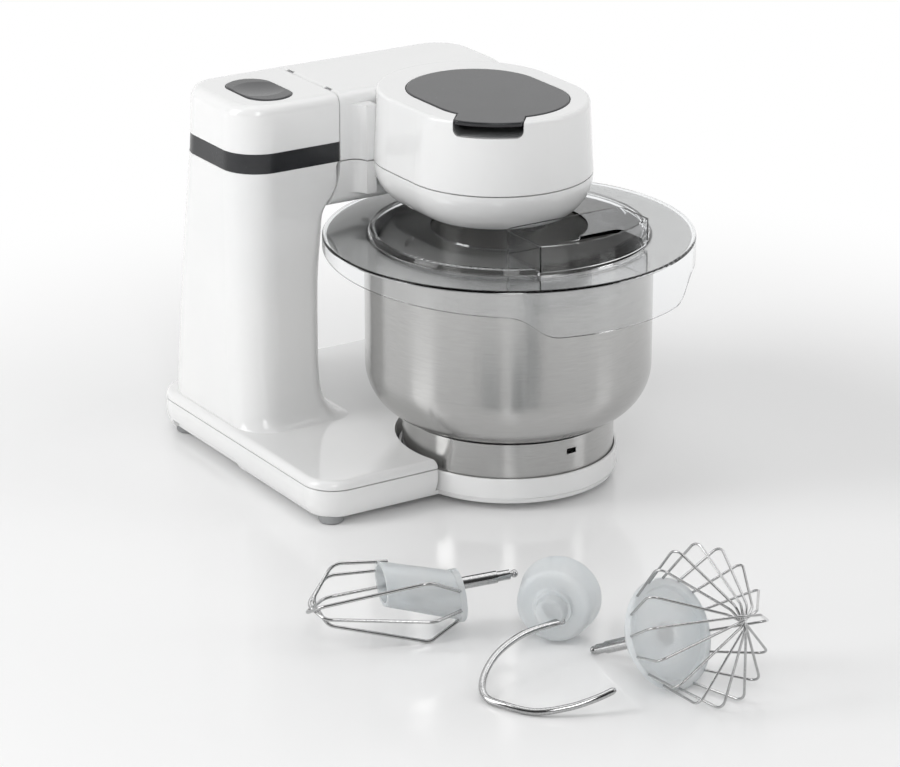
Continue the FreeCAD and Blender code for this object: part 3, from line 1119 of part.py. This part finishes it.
# Stir whisk: a slanted clear hub with three wire loops that all bulge to one side
z0, z1 = STIR_HUB
stir_up = math.atan2(-STIR_AIM[1], -STIR_AIM[0])


def stir_way(rise):
    """Direction across the whisk, in degrees above level on its near side."""
    a = stir_up + math.radians(rise - 90)
    return V(math.cos(a), math.sin(a), 0)


def stir_centre(z):
    t = (z - z0) / (z1 - z0)
    return stir_way(STIR_SIDES[-1]) * (STIR_SLANT * (0.46 - t)) + V(0, 0, z)


def stir_cone(za, zb, inset):
    """Slanted cone of the hub between two heights."""
    rings = []
    for z in (za, zb):
        r = STIR_REAR_R + (STIR_FRONT_R - STIR_REAR_R) * (z - z0) / (z1 - z0) - inset
        rings.append(Part.Wire([Part.makeCircle(r, stir_centre(z), V(0, 0, 1))]))
    return Part.makeLoft(rings, True, True)


hub = stir_cone(z0, z1, 0).cut(stir_cone(z0 + 5, z1 + 1, 2.6)).fuse(cyl(SHANK_R + 3, z0, z1 - 14))
rim_at = stir_centre(z0 + 2)
hub = hub.fuse(cyl(STIR_REAR_R + 1.2, z0, z0 + 4, rim_at.x, rim_at.y))
hub = hub.cut(cyl(SHANK_R, z0 - 1, z1 - 16))
loops = []
for k, rise in enumerate(STIR_SIDES):
    way = stir_way(rise)
    apex = TOOL_L - STIR_WIRE_R - 2.7 * k
    near = stir_centre(z1)
    far_leg = V(near.x, near.y, 0) - way * (STIR_FRONT_R - 1.3)
    wire = rod([(far_leg + V(0, 0, z1 - 7), 0), (far_leg - way * 5 + V(0, 0, apex - 18), 12),
                (way * -7 + V(0, 0, apex), 8), (way * 11 + V(0, 0, apex - 7), 10),
                (way * STIR_BULGE + V(0, 0, z0 + 26), 9),
                (V(rim_at.x, rim_at.y, z0 + 2.2) + way * (STIR_REAR_R - 0.8), 0)], STIR_WIRE_R)
    loops.append(wire)
    hub = hub.cut(wire)
stir = [lay(shape, STIR_TIP + (0,), STIR_AIM) for shape in [hub, shank(z1 - 16)] + loops]
settle(*stir)
add("stir_whisk_hub", stir[0])
add("stir_whisk_shank", stir[1])
add("stir_whisk_wires", *stir[2:])

# Dough hook: a shallow clear drum with a bent round rod
drum_back = HOOK_FACE - HOOK_DRUM_T
drum = turned([(SHANK_R, HOOK_FACE - 2, 0), (SHANK_R, drum_back + 2, 0), (SHANK_R + 3, drum_back + 2, 0),
               (SHANK_R + 3, HOOK_FACE - 2.2, 1.0), (HOOK_DRUM_R - 5, HOOK_FACE - 2.2, 3.0),
               (HOOK_DRUM_R - 2, drum_back, 0.4), (HOOK_DRUM_R, drum_back, 0.6),
               (HOOK_DRUM_R - 3, HOOK_FACE, 4.0),
               (13.5, HOOK_FACE, 1.5), (12.5, HOOK_FACE + 3, 0.8), (10.5, HOOK_FACE + 3, 0.8),
               (9.5, HOOK_FACE + 11, 1.5), (0, HOOK_FACE + 11, 0), (0, HOOK_FACE - 2, 0)])
HOOK_PATH = [(6, 8, -6, 0), (15, 3, -6.5, 14), (30, -10, -6.5, 26), (66, -24.5, -11, 32),
             (93, -24, -22.9, 7),
             (102.5, 18, -22.9, 44), (84, 60.5, -13, 0)]
hook = rod([(V(u, v, HOOK_FACE + s), bend) for s, u, v, bend in HOOK_PATH], HOOK_ROD_R)
drum = drum.cut(hook)
aim = V(*HOOK_AIM).normalize()
HOOK_TIP = (HOOK_AT[0] - aim.x * HOOK_FACE, HOOK_AT[1] - aim.y * HOOK_FACE, HOOK_DRUM_R)


def lay_hook(shape):
    """Lay the hook with its own left and down directions kept upright."""
    side = V(0, 0, 1).cross(aim) * -1
    m = FreeCAD.Matrix(-side.x, 0, aim.x, HOOK_TIP[0], -side.y, 0, aim.y, HOOK_TIP[1], 0, 1, 0,
                       HOOK_TIP[2], 0, 0, 0, 1)
    out = shape.copy()
    out.Placement = FreeCAD.Placement(m)
    return out


laid = [lay_hook(drum), lay_hook(hook), lay_hook(shank(HOOK_FACE - 2))]
settle(*laid)
add("dough_hook_drum", laid[0])
add("dough_hook_rod", laid[1])
add("dough_hook_shank", laid[2])

# Balloon whisk: a clear drum with wire loops that cross at the end
bz, br = BALLOON_BULGE
hub = turned([(SHANK_R, BALLOON_HUB - 20, 0), (SHANK_R + 3, BALLOON_HUB - 20, 1.0),
              (SHANK_R + 3, BALLOON_HUB - 6, 1.0),
              (BALLOON_HUB_R - 5.5, BALLOON_HUB - 6, 1.5), (BALLOON_HUB_R - 12, BALLOON_HUB - 16, 0.8),
              (BALLOON_HUB_R - 10, BALLOON_HUB - 16, 0.8), (BALLOON_HUB_R, BALLOON_HUB - 5, 3.0),
              (BALLOON_HUB_R, BALLOON_HUB, 1.2), (BALLOON_HUB_R - 5, BALLOON_HUB, 1.0),
              (BALLOON_HUB_R - 6.5, BALLOON_HUB - 3.4, 0.5), (0, BALLOON_HUB - 3.4, 0),
              (0, BALLOON_HUB - 6, 0),
              (SHANK_R, BALLOON_HUB - 6, 0)])
loops = []
for k in range(BALLOON_LOOPS):
    a = math.pi * k / BALLOON_LOOPS

    def radial(r, z):
        return V(r * math.cos(a), r * math.sin(a), z)
    apex = TOOL_L - BALLOON_WIRE_R - (2 * BALLOON_WIRE_R + 0.25) * k
    rim = BALLOON_HUB_R - 2.0
    wire = rod([(radial(rim, BALLOON_HUB - 3), 0), (radial(br, bz), 7), (radial(8, apex), 7),
                (radial(-8, apex), 7),
                (radial(-br, bz), 7), (radial(-rim, BALLOON_HUB - 3), 0)], BALLOON_WIRE_R)
    loops.append(wire)
    hub = hub.cut(wire)
rise = math.atan2(br + BALLOON_WIRE_R - 2.7, bz - 2.7)
turn = math.radians(BALLOON_TURN)
aim_b = (math.cos(rise) * math.cos(turn), math.cos(rise) * math.sin(turn), math.sin(rise))
balloon = [lay(shape, BALLOON_TIP + (0,), aim_b) for shape in [hub, shank(BALLOON_HUB - 6)] + loops]
settle(*balloon)
add("balloon_whisk_hub", balloon[0])
add("balloon_whisk_shank", balloon[1])
add("balloon_whisk_wires", *balloon[2:])

# Origin: the middle of the bottom of the whole
whole = FreeCAD.BoundBox()
for shape in nodes.values():
    whole.add(shape.optimalBoundingBox())
ORIGIN = V((whole.XMin + whole.XMax) / 2, (whole.YMin + whole.YMax) / 2, whole.ZMin)
for name in sorted(nodes):
    shape = nodes[name].copy()
    shape.translate(ORIGIN * -1)
    shape.exportStep("parts/" + name + ".step")
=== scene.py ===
import json
import math

import bmesh
import bpy
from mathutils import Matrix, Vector


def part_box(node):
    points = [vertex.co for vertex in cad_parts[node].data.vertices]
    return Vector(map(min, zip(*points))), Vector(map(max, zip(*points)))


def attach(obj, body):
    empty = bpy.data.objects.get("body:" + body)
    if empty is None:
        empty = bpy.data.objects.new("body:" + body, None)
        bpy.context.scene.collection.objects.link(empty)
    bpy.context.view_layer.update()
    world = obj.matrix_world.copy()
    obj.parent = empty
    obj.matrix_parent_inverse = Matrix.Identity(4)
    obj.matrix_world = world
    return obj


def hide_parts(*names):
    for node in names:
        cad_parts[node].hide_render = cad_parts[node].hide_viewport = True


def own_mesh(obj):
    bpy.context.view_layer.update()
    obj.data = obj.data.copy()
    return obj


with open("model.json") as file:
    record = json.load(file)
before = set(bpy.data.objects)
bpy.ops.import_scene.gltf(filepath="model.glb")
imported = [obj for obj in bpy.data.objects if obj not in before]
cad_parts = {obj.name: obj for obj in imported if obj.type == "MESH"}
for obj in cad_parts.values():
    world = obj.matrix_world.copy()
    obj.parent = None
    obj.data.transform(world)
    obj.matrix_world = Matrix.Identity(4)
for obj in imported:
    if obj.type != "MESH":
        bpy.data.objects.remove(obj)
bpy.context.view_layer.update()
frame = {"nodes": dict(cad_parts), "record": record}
nodes = frame["nodes"]
record = frame["record"]

# Bowl axis on the counter, which the camera and the brushed steel are set out from
bowl_low, bowl_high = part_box("bowl")
AXIS = Vector(((bowl_low.x + bowl_high.x) / 2, (bowl_low.y + bowl_high.y) / 2, 0.0))

# Camera at the photograph's viewing angle
CAMERA_FROM_BOWL = Vector((-1.35825, -2.07047, 0.99582))
CAMERA_YAW = 32.294
CAMERA_PITCH = -20.546
CAMERA_LENS = 146.216

# Light
AMBIENT = 0.42
STUDIO_GREY = 0.06
STUDIO_TILT = 0.55

# Distances over which the floor fades to white and loses its gloss
FLOOR_HALF = 14.0
FLOOR_DROP = 0.0002
FLOOR_NEAR = 0.30
FLOOR_FAR = 0.80
GLOSS_NEAR = 0.22
GLOSS_FAR = 0.40
GLOSS_LEVEL = 0.5


class Shader:
    """Small helper that wires one procedural material."""

    def __init__(self, name):
        self.mat = bpy.data.materials.new(name)
        self.mat.use_nodes = True
        self.tree = self.mat.node_tree
        self.main = self.tree.nodes["Principled BSDF"]
        self.coord = self.tree.nodes.new("ShaderNodeTexCoord").outputs["Object"]

    def add(self, kind, **values):
        node = self.tree.nodes.new(kind)
        for key, value in values.items():
            setattr(node, key, value)
        return node

    def join(self, a, b):
        self.tree.links.new(a, b)

    def put(self, **values):
        """Set constant values on the main shader's sockets."""
        for key, value in values.items():
            self.main.inputs[key.replace("_", " ")].default_value = value
        return self

    def noise(self, scale, detail=2.0, vector=None, rough=0.5):
        node = self.add("ShaderNodeTexNoise")
        node.inputs["Scale"].default_value = scale
        node.inputs["Detail"].default_value = detail
        node.inputs["Roughness"].default_value = rough
        self.join(vector or self.coord, node.inputs["Vector"])
        return node.outputs["Fac"]

    def wave(self, scale, direction, distort):
        node = self.add("ShaderNodeTexWave", bands_direction=direction)
        node.inputs["Scale"].default_value = scale
        node.inputs["Distortion"].default_value = distort
        self.join(self.coord, node.inputs["Vector"])
        return node.outputs["Fac"]

    def ramp(self, fac, low, high, start=0.3, end=0.7):
        node = self.add("ShaderNodeValToRGB")
        for stop, at, colour in zip(node.color_ramp.elements, (start, end), (low, high)):
            stop.position = at
            stop.color = tuple(colour) + (1.0,)
        self.join(fac, node.inputs["Fac"])
        return node.outputs["Color"]

    def span(self, fac, low, high):
        node = self.add("ShaderNodeMapRange")
        node.inputs["To Min"].default_value = low
        node.inputs["To Max"].default_value = high
        self.join(fac, node.inputs["Value"])
        return node.outputs["Result"]

    def maths(self, operation, a, b):
        node = self.add("ShaderNodeMath", operation=operation)
        for socket, value in zip(node.inputs, (a, b)):
            if isinstance(value, (int, float)):
                socket.default_value = value
            else:
                self.join(value, socket)
        return node.outputs[0]

    def colour(self, output):
        self.join(output, self.main.inputs["Base Color"])
        return self

    def rough(self, fac, low, high):
        self.join(self.span(fac, low, high), self.main.inputs["Roughness"])
        return self

    def bump(self, fac, strength, distance, bevel=0.0):
        node = self.add("ShaderNodeBump")
        node.inputs["Strength"].default_value = strength
        node.inputs["Distance"].default_value = distance
        self.join(fac, node.inputs["Height"])
        if bevel:
            soft = self.add("ShaderNodeBevel", samples=4)
            soft.inputs["Radius"].default_value = bevel
            self.join(soft.outputs["Normal"], node.inputs["Normal"])
        self.join(node.outputs["Normal"], self.main.inputs["Normal"])
        return self

    def around(self, turn, across):
        """Vector that changes slowly round the bowl axis and quickly up and outwards."""
        shift = self.add("ShaderNodeVectorMath", operation="SUBTRACT")
        self.join(self.coord, shift.inputs[0])
        shift.inputs[1].default_value = AXIS
        parts = self.add("ShaderNodeSeparateXYZ")
        self.join(shift.outputs["Vector"], parts.inputs[0])
        x, y, z = parts.outputs
        angle = self.maths("ARCTAN2", y, x)
        squares = self.maths("ADD", self.maths("MULTIPLY", x, x), self.maths("MULTIPLY", y, y))
        radius = self.maths("POWER", squares, 0.5)
        reach = self.maths("ADD", radius, z)
        out = self.add("ShaderNodeCombineXYZ")
        self.join(self.maths("MULTIPLY", angle, turn), out.inputs[0])
        self.join(self.maths("MULTIPLY", reach, across), out.inputs[1])
        return out.outputs[0]


def gloss_white(name, low, high, bevel):
    s = Shader(name)
    s.put(Metallic=0.0, IOR=1.5, Coat_Weight=0.35, Coat_Roughness=0.06)
    s.colour(s.ramp(s.noise(9.0, 3.0), low, high))
    s.rough(s.noise(60.0, 3.0), 0.10, 0.17)
    s.bump(s.noise(420.0, 2.0), 0.05, 0.0004, bevel)
    return s.mat


def satin(name, low, high, rough, grain=1800.0, bevel=0.0004, bump=0.12):
    s = Shader(name)
    s.put(Metallic=0.0, IOR=1.48)
    s.colour(s.ramp(s.noise(40.0, 4.0), low, high))
    s.rough(s.noise(grain / 3, 2.0), *rough)
    s.bump(s.noise(grain, 3.0), bump, 0.0003, bevel)
    return s.mat


def brushed(name):
    s = Shader(name)
    s.put(Metallic=1.0, Anisotropic=0.8, Anisotropic_Rotation=0.25)
    fine = s.noise(1.0, 4.0, s.around(9.0, 3600.0), 0.6)
    broad = s.noise(1.0, 2.0, s.around(3.0, 700.0))
    both = s.maths("ADD", s.maths("MULTIPLY", fine, 0.8), s.maths("MULTIPLY", broad, 0.2))
    s.colour(s.ramp(both, (0.40, 0.398, 0.392), (0.58, 0.577, 0.57), 0.25, 0.75))
    s.rough(both, 0.17, 0.26)
    s.bump(fine, 0.05, 0.0001, 0.0004)
    tangent = s.add("ShaderNodeTangent", direction_type="RADIAL", axis="Z")
    s.join(tangent.outputs[0], s.main.inputs["Tangent"])
    return s.mat


def metal(name, low, high, rough, scale=900.0, bump=0.06, bevel=0.0):
    s = Shader(name)
    s.put(Metallic=1.0)
    grain = s.noise(scale, 4.0)
    s.colour(s.ramp(grain, low, high))
    s.rough(s.noise(scale / 4, 3.0), *rough)
    s.bump(grain, bump, 0.0002, bevel)
    return s.mat


def clear(name):
    s = Shader(name)
    s.put(Metallic=0.0, IOR=1.3, Transmission_Weight=1.0)
    s.colour(s.ramp(s.noise(6.0, 2.0), (0.955, 0.965, 0.97), (0.975, 0.98, 0.985)))
    s.rough(s.noise(30.0, 3.0), 0.01, 0.035)
    s.bump(s.noise(25.0, 1.0), 0.02, 0.0006)
    out = s.tree.nodes["Material Output"]
    mix = s.add("ShaderNodeMixShader")
    through = s.add("ShaderNodeBsdfTransparent")
    through.inputs["Color"].default_value = (0.93, 0.94, 0.945, 1.0)
    s.join(s.add("ShaderNodeLightPath").outputs["Is Shadow Ray"], mix.inputs["Fac"])
    s.join(s.main.outputs[0], mix.inputs[1])
    s.join(through.outputs[0], mix.inputs[2])
    s.join(mix.outputs[0], out.inputs["Surface"])
    return s.mat


def frosted(name):
    s = Shader(name)
    s.put(Metallic=0.0, IOR=1.4, Transmission_Weight=0.42, Subsurface_Weight=0.35, Subsurface_Scale=0.006)
    s.main.inputs["Subsurface Radius"].default_value = (1.0, 1.0, 1.0)
    s.colour(s.ramp(s.noise(35.0, 4.0), (0.83, 0.87, 0.89), (0.93, 0.955, 0.965)))
    s.rough(s.noise(300.0, 3.0), 0.28, 0.42)
    s.bump(s.noise(900.0, 2.0), 0.12, 0.0003, 0.0005)
    return s.mat


def banded(name, low, high, scale, direction, metallic, rough, bump):
    s = Shader(name)
    s.put(Metallic=metallic)
    stripe = s.wave(scale, direction, 0.4)
    speckle = s.noise(500.0, 3.0)
    mixed = s.maths("ADD", s.maths("MULTIPLY", stripe, 0.7), s.maths("MULTIPLY", speckle, 0.3))
    s.colour(s.ramp(mixed, low, high, 0.2, 0.8))
    s.rough(mixed, *rough)
    s.bump(stripe, bump, 0.0004)
    return s.mat


materials = {
    "white_shell": gloss_white("white_shell_gloss", (0.84, 0.845, 0.845), (0.885, 0.885, 0.88), 0.0006),
    "graphite": satin(
        "graphite_satin", (0.016, 0.017, 0.019), (0.026, 0.027, 0.030), (0.20, 0.30), 2400.0, bump=0.06
    ),
    "grey_inner": satin("grey_moulded", (0.30, 0.31, 0.32), (0.38, 0.385, 0.39), (0.4, 0.55)),
    "bowl_steel": brushed("bowl_brushed_steel"),
    "clear_lid": clear("clear_polycarbonate"),
    "frosted": frosted("frosted_plastic"),
    "tool_wire": metal("polished_wire", (0.36, 0.362, 0.365), (0.54, 0.54, 0.54), (0.08, 0.17)),
    "foot_rubber": satin(
        "foot_rubber_matt", (0.26, 0.265, 0.27), (0.36, 0.365, 0.37), (0.65, 0.85), 900.0, bump=0.3
    ),
    "gear_plastic": satin("gear_moulded", (0.66, 0.64, 0.56), (0.76, 0.74, 0.67), (0.35, 0.5)),
    "gear_steel": metal(
        "gear_cut_steel", (0.36, 0.36, 0.37), (0.55, 0.55, 0.56), (0.25, 0.4), 700.0, 0.12, 0.0003
    ),
    "cast_housing": metal(
        "die_cast", (0.48, 0.48, 0.49), (0.62, 0.62, 0.63), (0.45, 0.65), 500.0, 0.35, 0.0005
    ),
    "bronze": metal("sintered_bronze", (0.42, 0.26, 0.10), (0.62, 0.42, 0.19), (0.3, 0.5), 1500.0, 0.3),
    "copper": banded(
        "enamelled_copper", (0.36, 0.13, 0.05), (0.72, 0.33, 0.15), 420.0, "DIAGONAL", 0.9, (0.2, 0.4), 0.6
    ),
    "laminations": banded(
        "stamped_sheet", (0.16, 0.16, 0.165), (0.34, 0.34, 0.35), 320.0, "Z", 0.9, (0.35, 0.55), 0.5
    ),
    "carbon": satin("brush_carbon", (0.02, 0.02, 0.02), (0.05, 0.05, 0.05), (0.5, 0.7), 1200.0),
    "board": satin("circuit_board", (0.02, 0.10, 0.04), (0.06, 0.24, 0.10), (0.3, 0.5), 600.0),
    "belt_rubber": banded(
        "ribbed_belt", (0.015, 0.015, 0.015), (0.05, 0.05, 0.05), 260.0, "Z", 0.0, (0.6, 0.8), 0.6
    ),
    "spring_steel": metal("spring_wire", (0.42, 0.42, 0.43), (0.60, 0.60, 0.61), (0.2, 0.35)),
    "screw_steel": metal("zinc_plate", (0.42, 0.43, 0.44), (0.58, 0.58, 0.57), (0.3, 0.45), 800.0, 0.1),
}

for part in record["subparts"]:
    piece = nodes[part["node"]]
    piece.data.materials.clear()
    piece.data.materials.append(materials[part["material_slot"]])


def mesh_piece(name, build, body, slot):
    """New piece from bmesh code, riding on a body with a slot's material."""
    mesh = bpy.data.meshes.new(name)
    shape = bmesh.new()
    build(shape)
    bmesh.ops.recalc_face_normals(shape, faces=shape.faces)
    shape.to_mesh(mesh)
    shape.free()
    piece = bpy.data.objects.new(name, mesh)
    bpy.context.scene.collection.objects.link(piece)
    mesh.materials.append(materials[slot])
    for face in mesh.polygons:
        face.use_smooth = True
    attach(piece, body)
    return piece


def loft_rings(shape, rings):
    """Skin between rings of points, with the first and the last ring capped."""
    rows = [[shape.verts.new(point) for point in ring] for ring in rings]
    count = len(rows[0])
    for low, high in zip(rows, rows[1:]):
        for i in range(count):
            j = (i + 1) % count
            shape.faces.new((low[i], low[j], high[j], high[i]))
    shape.faces.new(list(reversed(rows[0])))
    shape.faces.new(rows[-1])


def stadium_ring(centre, right, up, out, half, radius, depth, steps=10):
    """Ring of points round an upright slot outline, set off along out."""
    points = []
    for end, start in ((1, 0.0), (-1, math.pi)):
        for i in range(steps + 1):
            turn = start + math.pi * i / steps
            side = right * (radius * math.cos(turn))
            rise = up * (end * half + radius * math.sin(turn))
            points.append(centre + side + rise + out * depth)
    return points


# Pointer on the speed knob's grip
knob_low, knob_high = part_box("speed_knob")
knob = Vector(((knob_low.x + knob_high.x) / 2, knob_high.y, (knob_low.z + knob_high.z) / 2))
KNOB_R = (knob_high.x - knob_low.x) / 2
POINTER_OUT = 0.42 * KNOB_R
POINTER_HALF = 0.0028
POINTER_RINGS = ((0.0008, -0.0006), (0.0008, 0.0002), (0.0005, 0.0004))


def pointer(shape):
    face = Vector((knob.x, knob.y, knob.z + POINTER_OUT))
    right = Vector((1, 0, 0))
    up = Vector((0, 0, 1))
    out = Vector((0, 1, 0))
    rings = []
    for radius, depth in POINTER_RINGS:
        rings.append(stadium_ring(face, right, up, out, POINTER_HALF, radius, depth))
    loft_rings(shape, rings)


mesh_piece("knob_pointer", pointer, "knob", "white_shell")


def smooth_path(points, steps=10):
    """Points along a smooth curve through the given ones."""
    ends = [points[0] * 2 - points[1]] + points + [points[-1] * 2 - points[-2]]
    path = []
    for a, b, c, d in zip(ends, ends[1:], ends[2:], ends[3:]):
        for i in range(steps):
            t = i / steps
            path.append(0.5 * (2 * b + (c - a) * t + (2 * a - 5 * b + 4 * c - d) * t ** 2
                               + (3 * b - a - 3 * c + d) * t ** 3))
    return path + [points[-1]]


def tube(shape, path, radii, sides=16):
    """Round tube along a path, with one radius for each point."""
    side = (path[1] - path[0]).orthogonal().normalized()
    rings = []
    for i, (point, radius) in enumerate(zip(path, radii)):
        way = (path[min(i + 1, len(path) - 1)] - path[max(i - 1, 0)]).normalized()
        side = (side - way * side.dot(way)).normalized()
        other = way.cross(side)
        turns = [2 * math.pi * k / sides for k in range(sides)]
        rings.append([point + (side * math.cos(t) + other * math.sin(t)) * radius for t in turns])
    loft_rings(shape, rings)


# Bent rod of the dough hook: millimetres forwards, left and up from the end of its shank
HOOK_FROM = Vector((-0.03793, -0.14420, 0.0275))
HOOK_AIM = Vector((-0.735, -0.678, 0.0)).normalized()
HOOK_LEFT = Vector((-HOOK_AIM.y, HOOK_AIM.x, 0.0))
HOOK_ROD_R = 0.0023
HOOK_BENDS = [
    (50, 8, -6), (60, 1.5, -5), (80, -12.5, -5.5), (104, -22.5, -9.5), (124, -26, -17.5), (136, -21.5, -24.2),
    (144, -6, -24.8), (148, 14, -24.8), (143, 34, -21.6), (136, 49.5, -17), (128, 60.5, -13),
]


def hook_rod(shape):
    bends = []
    for forwards, left, up in HOOK_BENDS:
        offset = HOOK_AIM * forwards + HOOK_LEFT * left + Vector((0, 0, up))
        bends.append(HOOK_FROM + offset / 1000)
    path = smooth_path(bends)
    radii = [HOOK_ROD_R] * (len(path) - 2) + [HOOK_ROD_R * 0.9, HOOK_ROD_R * 0.55]
    tube(shape, path, radii)


rod = mesh_piece("dough_hook_bent_rod", hook_rod, "dough_hook", "tool_wire")
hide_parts("dough_hook_rod")

# Return spring of the release button: a helix
SPRING_TURNS = 4
SPRING_STEPS = 24
SPRING_R = 0.0075
SPRING_WIRE_R = 0.0009
spring_low, spring_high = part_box("button_spring")
SPRING_MID = (spring_low + spring_high) / 2
SPRING_SPAN = spring_high.z - spring_low.z


def button_helix(shape):
    rise = SPRING_SPAN - 2 * SPRING_WIRE_R
    count = SPRING_TURNS * SPRING_STEPS
    path = []
    for i in range(count + 1):
        turn = 2 * math.pi * i / SPRING_STEPS
        across = Vector((math.cos(turn), math.sin(turn), 0)) * SPRING_R
        path.append(SPRING_MID + across + Vector((0, 0, rise * (i / count - 0.5))))
    tube(shape, path, [SPRING_WIRE_R] * len(path), 10)


spring = mesh_piece("button_return_spring", button_helix, "base", "spring_steel")
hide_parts("button_spring")
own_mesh(spring)

# Floor, which fades to plain white away from the object
floor_mesh = bpy.data.meshes.new("floor")
shape = bmesh.new()
bmesh.ops.create_grid(shape, x_segments=8, y_segments=8, size=FLOOR_HALF)
shape.to_mesh(floor_mesh)
shape.free()
floor = bpy.data.objects.new("floor", floor_mesh)
bpy.context.scene.collection.objects.link(floor)
floor.location = (0, 0, -FLOOR_DROP)
s = Shader("floor_pale_gloss")
s.put(Metallic=0.0, IOR=1.45)
s.colour(s.ramp(s.noise(3.0, 3.0), (0.955, 0.955, 0.955), (0.965, 0.965, 0.965)))
s.rough(s.noise(40.0, 2.0), 0.09, 0.13)
length = s.add("ShaderNodeVectorMath", operation="LENGTH")
s.join(s.coord, length.inputs[0])
far = s.add("ShaderNodeMapRange", interpolation_type="SMOOTHSTEP")
far.inputs["From Min"].default_value = FLOOR_NEAR
far.inputs["From Max"].default_value = FLOOR_FAR
s.join(length.outputs["Value"], far.inputs["Value"])
gloss = s.add("ShaderNodeMapRange", interpolation_type="SMOOTHSTEP")
gloss.inputs["From Min"].default_value = GLOSS_NEAR
gloss.inputs["From Max"].default_value = GLOSS_FAR
gloss.inputs["To Min"].default_value = GLOSS_LEVEL
gloss.inputs["To Max"].default_value = 0.0
s.join(length.outputs["Value"], gloss.inputs["Value"])
s.join(gloss.outputs["Result"], s.main.inputs["Specular IOR Level"])
white = s.add("ShaderNodeEmission")
path = s.add("ShaderNodeLightPath")
rays = s.maths("MAXIMUM", path.outputs["Is Camera Ray"], path.outputs["Is Glossy Ray"])
rays = s.maths("MAXIMUM", rays, path.outputs["Is Transmission Ray"])
mix = s.add("ShaderNodeMixShader")
s.join(s.maths("MULTIPLY", far.outputs["Result"], rays), mix.inputs["Fac"])
s.join(s.main.outputs[0], mix.inputs[1])
s.join(white.outputs[0], mix.inputs[2])
s.join(mix.outputs[0], s.tree.nodes["Material Output"].inputs["Surface"])
floor_mesh.materials.append(s.mat)

# Studio: plain white to the camera; what shines sees white behind the object and dark grey on the near side
world = bpy.data.worlds.new("studio")
bpy.context.scene.world = world
world.use_nodes = True
tree = world.node_tree
tree.nodes.clear()


def node(kind, **values):
    made = tree.nodes.new(kind)
    for key, value in values.items():
        setattr(made, key, value)
    return made


def background(strength):
    made = node("ShaderNodeBackground")
    made.inputs["Color"].default_value = (1, 1, 1, 1)
    made.inputs["Strength"].default_value = strength
    return made


join = tree.links.new
out = node("ShaderNodeOutputWorld")
coord = node("ShaderNodeTexCoord")
away = node("ShaderNodeVectorMath", operation="DOT_PRODUCT")
join(coord.outputs["Generated"], away.inputs[0])
yaw = math.radians(CAMERA_YAW)
away.inputs[1].default_value = (math.sin(yaw), math.cos(yaw), STUDIO_TILT)
shade = node("ShaderNodeMapRange", interpolation_type="SMOOTHSTEP")
shade.inputs["From Min"].default_value = -0.25
shade.inputs["From Max"].default_value = 0.75
shade.inputs["To Min"].default_value = STUDIO_GREY
shade.inputs["To Max"].default_value = 1.0
join(away.outputs["Value"], shade.inputs["Value"])
shine = background(1.0)
join(shade.outputs["Result"], shine.inputs["Color"])
ambient = background(AMBIENT)
white = background(1.0)
path = node("ShaderNodeLightPath")
shiny = node("ShaderNodeMath", operation="MAXIMUM")
join(path.outputs["Is Glossy Ray"], shiny.inputs[0])
join(path.outputs["Is Transmission Ray"], shiny.inputs[1])
glossy = node("ShaderNodeMixShader")
join(shiny.outputs[0], glossy.inputs["Fac"])
join(ambient.outputs[0], glossy.inputs[1])
join(shine.outputs[0], glossy.inputs[2])
seen = node("ShaderNodeMixShader")
join(path.outputs["Is Camera Ray"], seen.inputs["Fac"])
join(glossy.outputs[0], seen.inputs[1])
join(white.outputs[0], seen.inputs[2])
join(seen.outputs[0], out.inputs["Surface"])


LAMP_TARGET = Vector((0.0, 0.03, 0.14))


def area(name, azimuth, elevation, distance, size, power):
    """Rectangular lamp; azimuth in degrees from the camera's side, positive to the right."""
    turn = math.radians(-90 - CAMERA_YAW + azimuth)
    up = math.radians(elevation)
    way = Vector((math.cos(turn) * math.cos(up), math.sin(turn) * math.cos(up), math.sin(up)))
    data = bpy.data.lights.new(name, "AREA")
    data.shape = "RECTANGLE"
    data.size = size[0]
    data.size_y = size[1]
    data.energy = power
    lamp = bpy.data.objects.new(name, data)
    bpy.context.scene.collection.objects.link(lamp)
    lamp.location = LAMP_TARGET + way * distance
    lamp.rotation_euler = (-way).to_track_quat("-Z", "Y").to_euler()


area("top", 150, 74, 2.4, (2.2, 2.2), 12.0)
area("left", -74, 26, 2.2, (0.8, 1.8), 21.0)
area("front", 2, 34, 2.5, (0.55, 1.8), 12.0)
area("right", 84, 26, 2.4, (0.6, 1.6), 6.5)

# Camera
camera_data = bpy.data.cameras.new("camera")
camera_data.sensor_fit = "HORIZONTAL"
camera_data.sensor_width = 36.0
camera_data.lens = CAMERA_LENS
camera_data.clip_end = 60.0
camera = bpy.data.objects.new("camera", camera_data)
bpy.context.scene.collection.objects.link(camera)
camera.location = AXIS + CAMERA_FROM_BOWL
camera.rotation_euler = (math.radians(90 + CAMERA_PITCH), 0.0, math.radians(-CAMERA_YAW))
bpy.context.scene.camera = camera
bpy.context.scene.view_settings.view_transform = "Standard"
